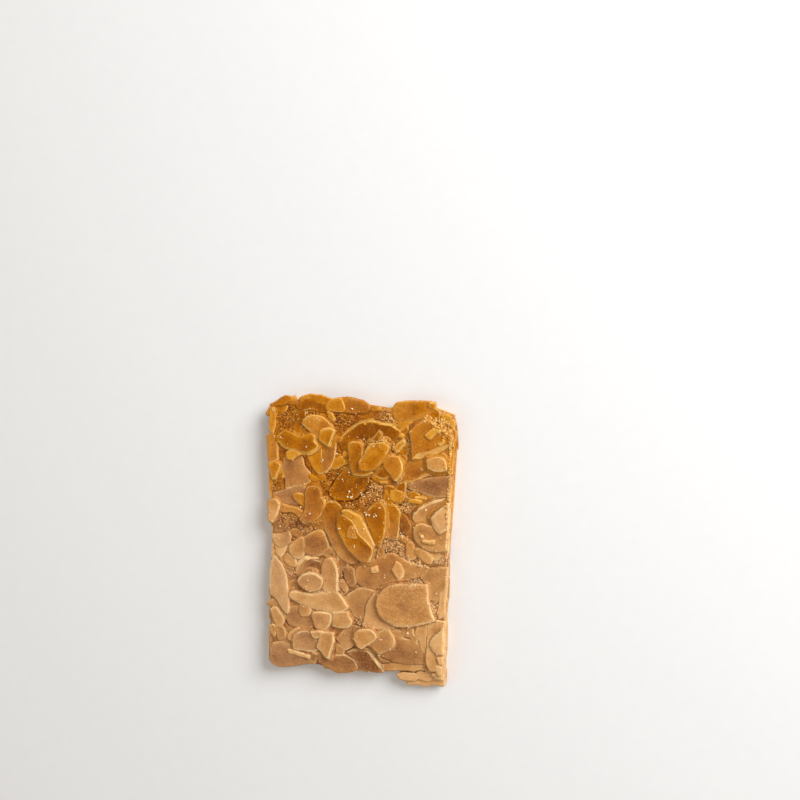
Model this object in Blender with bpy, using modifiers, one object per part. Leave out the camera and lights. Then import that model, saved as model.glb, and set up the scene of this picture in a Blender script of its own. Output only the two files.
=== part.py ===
"""A rectangular almond tuile, lying on its flat underside with its flaked face up.

It was baked as one sheet and cut into rectangles with a knife, then broken a
little at one corner. Lengths below are in millimetres and turn into metres
where a mesh is made. +X is across the slab, +Y along it and +Z up.
"""

import math

import bmesh
import bpy
import numpy as np
from mathutils import Matrix, Vector

MM = 0.001

# The baked sheet: thin caramel packed with almond, cut on all four sides.
BODY_TOP = 4.6
BODY_RIM = 0.35
RIGHT_CUT = ((24.6, -36.9), (24.4, -20.0), (24.5, -2.0), (24.9, 16.0), (25.2, 30.0))
FAR_EDGE = ((24.6, 35.2), (20.5, 36.4), (13.0, 36.9), (6.0, 36.1), (0.0, 36.6),
            (-9.0, 35.9), (-15.0, 36.6), (-22.0, 36.3))
LEFT_CUT = ((-24.8, 34.6), (-24.4, 26.0), (-24.7, 18.0), (-24.2, 9.0), (-23.8, -4.0),
            (-24.1, -20.0), (-24.0, -35.6))
NEAR_EDGE = ((-21.5, -36.7), (-12.0, -35.0), (-4.0, -36.3), (7.0, -35.2), (13.0, -36.4))

# The near right corner broke off in layers: each step is lower than the last.
# Each row is the step's left end, its inner edge and the height left there.
BROKEN_STEPS = ((8.2, -32.2, 3.3), (11.6, -34.6, 2.0))
# A deeper chip is missing where the fracture starts.
CHIP = ((7.3, -33.4), (8.4, -32.6), (12.4, -33.2), (13.2, -34.4), (11.8, -39.0), (8.6, -39.0))
CHIP_FLOOR = 1.1
CUT_CLEAR = 6.0  # how far a cutter runs past the top

# Sliced almonds: every slice is as thick, and its rim is worn soft.
SLICE_THICK = 0.7
SLICE_RIM = 0.2
SLICE_POINTS = 16
SLICE_TAPER = 0.24  # how much narrower the pointed half is
MESH_GAP = 0.3  # kept between any two pieces

# They lie in three layers. A slice comes to rest on those of the layers under
# it and leans a little, and sinks this far where it meets the caramel itself.
LAYER_SINKS = (0.62, 0.42, 0.3)
TILT_STEP = math.radians(0.5)
TILT_STEPS = 6
FIELD_STEP = 0.25

# The knife's lines also cut the slices that lay across them.
KNIFE_RIGHT = 24.7
KNIFE_LEFT = -25.2

PALE, GOLDEN, TOASTED = "slice_pale", "slice_golden", "slice_toasted"

# One row for each large slice: centre x and y, length, width, the way its
# point looks (degrees from +X), colour, bow to one side, and the straight
# breaks as (bearing in degrees, distance from the centre). In a layer a later
# slice covers an earlier one's edge, which ends at it.
LOW_SLICES = (
    (20.4, 17.2, 11.0, 5.6, 8, GOLDEN, 0.0, ()),
    (-2.6, 15.6, 11.0, 8.0, 0, TOASTED, 0.0, ()),
    (-18.6, 11.2, 10.5, 5.4, 15, GOLDEN, 0.0, ()),
    (13.6, -28.3, 13.5, 7.6, 4, TOASTED, 0.0, ((-90, 3.4),)),
    (-18.1, -33.5, 13.0, 7.0, -12, TOASTED, 0.0, ((-80, 3.2),)),
    (14.9, 35.4, 11.4, 7.4, 2, GOLDEN, 0.0, ((0, 5.0), (94, 3.2))),
    (-13.6, 35.2, 11.5, 5.6, 5, GOLDEN, 0.0, ((88, 2.5),)),
    (-2.6, 35.9, 10.5, 4.8, 178, GOLDEN, 0.0, ((90, 2.2), (185, 4.6))),
    (2.7, 28.1, 17.4, 10.0, 11, TOASTED, 0.0, ()),
    (-9.9, 22.6, 10.5, 7.2, 68, GOLDEN, 0.0, ()),
    (-17.1, 18.0, 10.0, 7.8, 105, PALE, 0.0, ((178, 3.6), (-78, 4.3), (96, 4.3))),
    (-24.0, 24.0, 8.6, 3.4, 92, GOLDEN, 0.0, ()),
    (9.2, 6.6, 9.8, 4.8, 90, GOLDEN, 0.0, ((-90, 4.6),)),
    (-12.8, -1.6, 12.4, 7.6, 30, GOLDEN, 0.0, ()),
    (-6.1, 2.2, 18.6, 7.2, 118, GOLDEN, 0.0, ()),
    (-20.9, -0.7, 6.0, 4.6, 170, PALE, 0.0, ()),
    (18.8, 22.2, 17.0, 10.6, 214, GOLDEN, 0.0, ((-75, 3.4),)),
    (20.4, 9.0, 12.6, 9.6, 40, GOLDEN, 0.0, ()),
    (9.6, -7.1, 21.0, 9.6, 13, PALE, 0.0, ()),
    (22.0, -8.9, 9.4, 8.0, 80, PALE, 0.0, ((92, 3.8),)),
    (1.2, -16.2, 9.4, 7.4, 62, PALE, 0.0, ()),
    (-1.2, -26.2, 9.4, 6.6, 62, PALE, 0.0, ((88, 3.1), (135, 2.1))),
    (3.9, -31.6, 10.6, 5.2, -44, TOASTED, 0.0, ()),
    (-15.6, -22.4, 9.8, 6.2, 4, GOLDEN, 0.0, ((60, 2.8),)),
    (-13.0, -8.4, 11.0, 7.6, 22, TOASTED, 0.0, ()),
    (-4.3, -33.9, 11.0, 5.2, -4, GOLDEN, 0.0, ()),
)
MIDDLE_SLICES = (
    (-12.3, 10.2, 10.2, 6.4, 78, GOLDEN, 0.0, ()),
    (18.6, 28.8, 13.6, 9.8, 26, GOLDEN, 0.0, ((-73, 3.5), (192, 5.4))),
    (7.1, -18.3, 12.0, 8.0, 62, PALE, 0.0, ()),
    (22.1, -26.0, 14.0, 5.6, 88, PALE, 0.0, ((178, 2.1), (-92, 6.4))),
    (-23.2, 7.2, 6.6, 3.4, -88, PALE, 0.0, ()),
    (5.3, 5.4, 12.2, 5.8, 98, TOASTED, 0.0, ()),
    (20.6, 3.2, 11.2, 7.8, 182, GOLDEN, 0.0, ()),
    (-0.2, 22.6, 9.6, 5.4, 94, PALE, 0.0, ((176, 2.4), (-84, 4.3), (88, 4.2))),
    (9.8, 21.0, 7.0, 4.6, 84, PALE, 0.0, ()),
    (-10.9, 29.9, 12.4, 9.4, -48, PALE, 0.0, ((47, 3.2), (-23, 4.2), (-110, 3.1), (95, 3.5))),
    (-17.2, 25.7, 12.2, 5.8, 178, GOLDEN, -1.1, ((12, 5.8),)),
    (-7.3, -9.6, 10.2, 4.8, 92, PALE, 0.0, ((-92, 4.6),)),
    (-21.4, -13.8, 15.6, 5.4, -78, PALE, 0.0, ((172, 2.4),)),
    (-9.4, -22.2, 6.2, 5.8, -70, PALE, 0.0, ((88, 2.0), (5, 2.6))),
    (-3.8, -21.5, 6.4, 5.4, 0, PALE, 0.0, ((180, 2.4), (-90, 1.8), (95, 1.9))),
    (-10.2, -16.8, 18.6, 5.8, 178, PALE, 0.0, ((37, 5.8), (95, 2.4), (-70, 4.0))),
    (-13.8, -28.6, 9.0, 6.6, 178, PALE, 0.0, ((-90, 2.1), (45, 2.8))),
    (7.8, -26.3, 8.8, 8.0, 45, PALE, 0.0, ((113, 2.6), (144, 2.4), (-130, 3.3), (-55, 2.5))),
)
TOP_SLICES = (
    (23.0, -24.3, 7.6, 3.8, 80, PALE, 0.0, ()),
    (4.4, 24.0, 9.4, 6.8, 240, PALE, 0.0, ((75, 4.0),)),
    (-0.1, 0.9, 15.2, 6.4, -54, PALE, 0.0, ()),
    (22.2, 8.6, 8.8, 6.0, 110, PALE, 0.0, ((200, 1.9), (45, 2.7))),
    (-7.8, -28.4, 9.0, 6.4, -85, PALE, 0.0, ((0, 2.2), (97, 2.8), (180, 2.2), (-127, 2.7))),
    (-12.4, -11.9, 7.2, 5.2, 20, PALE, 0.0, ()),
    (3.2, -25.6, 7.4, 6.0, 30, PALE, 0.0, ((90, 2.2), (-46, 1.4), (-140, 2.5), (146, 2.2))),
    (20.9, 22.9, 5.4, 4.4, 3, PALE, 0.0, ((4, 2.4), (184, 2.4), (92, 1.5), (-88, 1.5))),
    (17.2, -15.2, 22.0, 12.0, 0, PALE, 0.0, ((13, 3.7), (-75, 4.6))),
)
LAYERS = (LOW_SLICES, MIDDLE_SLICES, TOP_SLICES)


def material(name, colour, roughness):
    made = bpy.data.materials.new(name)
    made.use_nodes = True
    surface = made.node_tree.nodes["Principled BSDF"]
    surface.inputs["Base Color"].default_value = (*colour, 1.0)
    surface.inputs["Roughness"].default_value = roughness
    surface.inputs["Metallic"].default_value = 0.0
    made.diffuse_color = (*colour, 1.0)
    return made


def plate(name, outline, low, high, collection):
    """A flat outline given a thickness from low to high, as one closed mesh."""
    curve = bpy.data.curves.new(name, "CURVE")
    curve.dimensions = "2D"
    curve.fill_mode = "BOTH"
    curve.extrude = (high - low) / 2 * MM
    spline = curve.splines.new("POLY")
    spline.points.add(len(outline) - 1)
    for point, (x, y) in zip(spline.points, outline):
        point.co = (x * MM, y * MM, 0.0, 1.0)
    spline.use_cyclic_u = True
    drawn = bpy.data.objects.new(name, curve)
    collection.objects.link(drawn)
    drawn.location.z = (low + high) / 2 * MM
    bpy.context.view_layer.update()

    evaluated = drawn.evaluated_get(bpy.context.evaluated_depsgraph_get())
    mesh = bpy.data.meshes.new_from_object(evaluated)
    mesh.transform(drawn.matrix_world)
    bpy.data.objects.remove(drawn)
    work = bmesh.new()
    work.from_mesh(mesh)
    bmesh.ops.remove_doubles(work, verts=work.verts, dist=1e-6)
    flat = [e for e in work.edges if len(e.link_faces) == 2 and e.calc_face_angle() < 1e-4]
    bmesh.ops.dissolve_edges(work, edges=flat, use_verts=False)
    bmesh.ops.recalc_face_normals(work, faces=work.faces)
    work.to_mesh(mesh)
    work.free()
    mesh.name = name
    made = bpy.data.objects.new(name, mesh)
    collection.objects.link(made)
    return made


def soften(piece, rim):
    bevel = piece.modifiers.new("soft rim", "BEVEL")
    bevel.width = rim * MM
    bevel.segments = 1
    bevel.limit_method = "ANGLE"
    bevel.angle_limit = math.radians(60)


def cut(piece, cutter):
    cutter.hide_render = True
    cutter.display_type = "WIRE"
    boolean = piece.modifiers.new(cutter.name, "BOOLEAN")
    boolean.operation = "DIFFERENCE"
    boolean.solver = "EXACT"
    boolean.object = cutter


def clipped(outline, normal, reach):
    """The part of an outline within reach along a normal, cut off straight."""
    kept = []
    for (x0, y0), (x1, y1) in zip(outline, outline[1:] + outline[:1]):
        inside0 = reach - (x0 * normal[0] + y0 * normal[1])
        inside1 = reach - (x1 * normal[0] + y1 * normal[1])
        if inside0 >= 0:
            kept.append((x0, y0))
        if (inside0 > 0) != (inside1 > 0):
            part = inside0 / (inside0 - inside1)
            kept.append((x0 + (x1 - x0) * part, y0 + (y1 - y0) * part))
    return kept


def slice_outline(x, y, length, width, turn, bow, breaks):
    """A sliced almond seen flat: an egg with one end narrower, less its breaks."""
    outline = []
    along = Vector((math.cos(math.radians(turn)), math.sin(math.radians(turn))))
    across = Vector((-along.y, along.x))
    for step in range(SLICE_POINTS):
        angle = 2 * math.pi * step / SLICE_POINTS
        forward = length / 2 * math.cos(angle)
        aside = width / 2 * math.sin(angle) * (1 - SLICE_TAPER * math.cos(angle))
        aside += bow * (math.cos(angle) ** 2 - 0.5)
        outline.append(tuple(along * forward + across * aside))
    for bearing, reach in breaks:
        normal = (math.cos(math.radians(bearing)), math.sin(math.radians(bearing)))
        outline = clipped(outline, normal, reach)
    outline = [(x + px, y + py) for px, py in outline]
    outline = clipped(outline, (1, 0), KNIFE_RIGHT)
    outline = clipped(outline, (-1, 0), -KNIFE_LEFT)
    return without_short_sides(outline)


def without_short_sides(outline, shortest=0.35):
    kept = []
    for point in outline:
        if not kept or math.dist(point, kept[-1]) > shortest:
            kept.append(point)
    if math.dist(kept[0], kept[-1]) <= shortest:
        kept.pop()
    return kept


def grown(outline, margin):
    """The outline moved out by a margin on every side."""
    moved = []
    for before, here, after in zip(outline[-1:] + outline[:-1], outline, outline[1:] + outline[:1]):
        back = (Vector(here) - Vector(before)).normalized()
        ahead = (Vector(after) - Vector(here)).normalized()
        corner = Vector((back.y + ahead.y, -back.x - ahead.x)).normalized()
        spread = max(0.5, corner.dot(Vector((back.y, -back.x))))
        moved.append((here[0] + corner.x * margin / spread, here[1] + corner.y * margin / spread))
    return moved


class Field:
    """How high the layers laid so far reach, on a square grid over the slab."""

    def __init__(self):
        ticks_x = np.arange(-30.0, 30.0, FIELD_STEP)
        ticks_y = np.arange(-42.0, 42.0, FIELD_STEP)
        self.x, self.y = np.meshgrid(ticks_x, ticks_y)
        self.top = np.full(self.x.shape, -1.0)

    def under(self, outline):
        """Which grid points lie inside an outline."""
        inside = np.zeros(self.x.shape, bool)
        for (x0, y0), (x1, y1) in zip(outline, outline[1:] + outline[:1]):
            crosses = (y0 > self.y) != (y1 > self.y)
            rise = (y1 - y0) if y1 != y0 else 1.0
            inside ^= crosses & (self.x < x0 + (self.y - y0) * (x1 - x0) / rise)
        return inside

    def settle(self, inside, x, y, sink):
        """The lowest gently tilted plane that clears all that lies beneath it."""
        rel_x, rel_y = self.x[inside] - x, self.y[inside] - y
        floor = np.maximum(self.top[inside] + MESH_GAP, BODY_TOP - sink)
        best = None
        tilts = [math.tan(TILT_STEP * step) for step in range(-TILT_STEPS, TILT_STEPS + 1)]
        for slope_x in tilts:
            for slope_y in tilts:
                height = float(np.max(floor - slope_x * rel_x - slope_y * rel_y))
                if best is None or height < best[0] - 1e-9:
                    best = (height, slope_x, slope_y)
        return best

    def cover(self, inside, x, y, height, slope_x, slope_y):
        rel_x, rel_y = self.x[inside] - x, self.y[inside] - y
        top = height + slope_x * rel_x + slope_y * rel_y + SLICE_THICK
        self.top[inside] = np.maximum(self.top[inside], top)


def resting(x, y, height, slope_x, slope_y):
    """The move from the slab's own level to a tilted plane through a point."""
    normal = Vector((-slope_x, -slope_y, 1.0)).normalized()
    turn = Vector((0, 0, 1)).rotation_difference(normal).to_matrix().to_4x4()
    place = Matrix.Translation(Vector((x, y, height)) * MM)
    return place @ turn @ Matrix.Translation(Vector((-x, -y, 0.0)) * MM)


def baked_sheet(collection, cutters):
    outline = RIGHT_CUT + FAR_EDGE + LEFT_CUT + NEAR_EDGE
    sheet = plate("biscuit", outline, 0.0, BODY_TOP, collection)
    soften(sheet, BODY_RIM)
    for number, (left, inner, floor) in enumerate(BROKEN_STEPS, 1):
        step = ((left, -45.0), (30.0, -45.0), (30.0, inner + 0.4), (left + 3.0, inner))
        cut(sheet, plate(f"cutter_step_{number}", step, floor, BODY_TOP + CUT_CLEAR, cutters))
    cut(sheet, plate("cutter_chip", CHIP, CHIP_FLOOR, BODY_TOP + CUT_CLEAR, cutters))
    return sheet


def lay_layer(layer, field, sheet, paints, collection, cutters):
    """One layer of slices: each settles on the layers below, none on its own."""
    laid = []
    for x, y, length, width, turn, colour, bow, breaks in LAYERS[layer]:
        outline = slice_outline(x, y, length, width, turn, bow, breaks)
        around = grown(outline, MESH_GAP)
        footprint = field.under(grown(outline, MESH_GAP + FIELD_STEP / 2))
        rest = field.settle(footprint, x, y, LAYER_SINKS[layer])
        name = f"almond_slice_{slices_below(layer) + len(laid) + 1:02d}"
        piece = plate(name, outline, 0.0, SLICE_THICK, collection)
        piece.data.transform(resting(x, y, *rest))
        piece.data.materials.append(paints[colour])
        press_in(piece, around, resting(x, y, *rest), sheet, cutters)
        for lower, lower_footprint, _ in laid:
            if np.any(lower_footprint & footprint):
                edge_name = f"cutter_{lower.name}_at_{name}"
                cut(lower, plate(edge_name, around, 0.0, BODY_TOP + CUT_CLEAR, cutters))
        laid.append((piece, footprint, (x, y, *rest)))
    for piece, footprint, place in laid:
        field.cover(footprint, *place)
        soften(piece, SLICE_RIM)


def press_in(piece, around, plane, sheet, cutters):
    """A pocket in the caramel under a slice that reaches down into it."""
    lowest = min(vertex.co.z for vertex in piece.data.vertices) / MM
    if lowest < BODY_TOP + MESH_GAP:
        pocket = plate(f"cutter_{piece.name}", around, -MESH_GAP, CUT_CLEAR, cutters)
        pocket.data.transform(plane)
        cut(sheet, pocket)


def slices_below(layer):
    return sum(len(rows) for rows in LAYERS[:layer])


def main():
    for old in list(bpy.data.objects):
        bpy.data.objects.remove(old)
    collection = bpy.data.collections.new("almond_tuile")
    cutters = bpy.data.collections.new("cutters")
    for made in (collection, cutters):
        bpy.context.scene.collection.children.link(made)

    caramel = material("caramel_biscuit", (0.42, 0.17, 0.045), 0.45)
    paints = {
        PALE: material(PALE, (0.68, 0.40, 0.17), 0.42),
        GOLDEN: material(GOLDEN, (0.58, 0.29, 0.09), 0.42),
        TOASTED: material(TOASTED, (0.43, 0.18, 0.05), 0.40),
    }
    sheet = baked_sheet(collection, cutters)
    sheet.data.materials.append(caramel)
    field = Field()
    for layer in range(len(LAYERS)):
        lay_layer(layer, field, sheet, paints, collection, cutters)


main()
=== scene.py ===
"""The looks of an almond tuile, lying face up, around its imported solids."""

import math
import random

import bpy
import numpy as np
from mathutils import Matrix, Vector


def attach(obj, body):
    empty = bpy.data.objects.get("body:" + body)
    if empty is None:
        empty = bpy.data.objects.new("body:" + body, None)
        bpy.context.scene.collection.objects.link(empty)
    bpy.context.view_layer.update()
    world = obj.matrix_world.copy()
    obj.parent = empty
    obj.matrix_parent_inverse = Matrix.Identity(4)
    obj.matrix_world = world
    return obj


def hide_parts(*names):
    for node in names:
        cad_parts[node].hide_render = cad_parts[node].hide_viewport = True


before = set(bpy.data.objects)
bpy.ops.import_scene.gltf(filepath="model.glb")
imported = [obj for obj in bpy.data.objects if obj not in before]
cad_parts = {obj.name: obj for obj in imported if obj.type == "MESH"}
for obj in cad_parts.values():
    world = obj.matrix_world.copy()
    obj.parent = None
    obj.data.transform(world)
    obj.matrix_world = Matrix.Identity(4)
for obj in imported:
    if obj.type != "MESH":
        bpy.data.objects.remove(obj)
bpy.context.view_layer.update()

MM = 0.001  # sizes and places are in mm, apart from those of the lights

CAMERA_PLACE = (92.1, 89.9, 323.6)
CAMERA_RIGHT = (0.9672, 0.0297, -0.2521)
CAMERA_UP = (-0.0671, 0.9877, -0.1412)
CAMERA_LENS = 58.3
CAMERA_SENSOR = 36.0

# Lights: a name, a place and a disk's width in metres, and a power in watts.
LIGHTS = (("window", (0.46, 0.41, 0.38), 0.45, 5.65), ("fill", (-0.7, -0.3, 0.9), 0.9, 1.1))
WINDOW_SIDE = 60  # degrees from +X: slices are lit from this side; edges facing it get a painted highlight, walls facing away painted shade
ROOM_LIGHT = 0.42

SHEET_TOP = 4.6
SHEET_WIDE = 49  # about, between the cut sides
SHEET_LONG = 72  # about, from the ragged near edge to the far edge
SHEET_CORNERS = ((-24, -35.6), (24.6, -36.9), (24.6, 35.2), (-24.8, 34.6))
TORN_DEPTH = 1.6  # how far in from its sides the sheet is torn and layered
SHEET_GRID = (215, 322)  # faces across and along, before the mesh is thinned
WALL_ROWS = 16  # rows of faces down its sides
SHEET_KEPT = 0.58  # the share of the faces that thinning keeps

SLICE_THICK = (0.8, 1.05)
SHARD_THICK = 0.62
LAYER_THICK = 0.6
LOWERED = 0.7  # the solids keep small gaps between them; real slices lie on each other
HIGHEST = 7.1  # nothing on the face stands above this
LOW_TOP = 4.95  # slices with their tops below this are stuck in the caramel
RAISED = (4.75, 5.3)  # tops that count as not raised at all, and as fully raised
CRISP_ROAST = 0.2  # the palest flakes are fresh breaks: thin, with sharp corners
SUNK_SHARDS = 70  # how many flakes lie sunk in the caramel
SHARD_CORNERS = 9  # of a flake that has no drawn outline

# Slices that show in the sides and in the underside.
SIDE_LAYERS = 5
LAYER_RISE = 0.84
DEEP_SLICES = 70

# How fine the meshes of the plates are: finer where more of a piece is seen.
SLICE_MESH = 0.17
SHARD_MESH = 0.13
SUNK_MESH = 0.21
LAYER_MESH = 0.14

# The grid of heights over the face.
FIELD_STEP = 0.2
FIELD_LOW = (-27.4, -39.4)
FIELD_HIGH = (27.4, 41.0)
AROUND = ((0, 1), (0, -1), (1, 0), (-1, 0))
BARE = -1.0  # the height where no slice lies
NOTHING = -9.0

UNDER_SLICES = 0.13  # how far below a slice's top the caramel stays where it doesn't cover it
GLUE_REACH = 1.2  # how far from a slice the caramel still clings to it
BUBBLE_TRIES = 9000  # spots tried for a burst bubble; those that are kept are mostly where it foamed
BUBBLE_RADII = (0.24, 0.3, 0.4)
BUBBLE_SHARES = (0.6, 0.3, 0.1)

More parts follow.
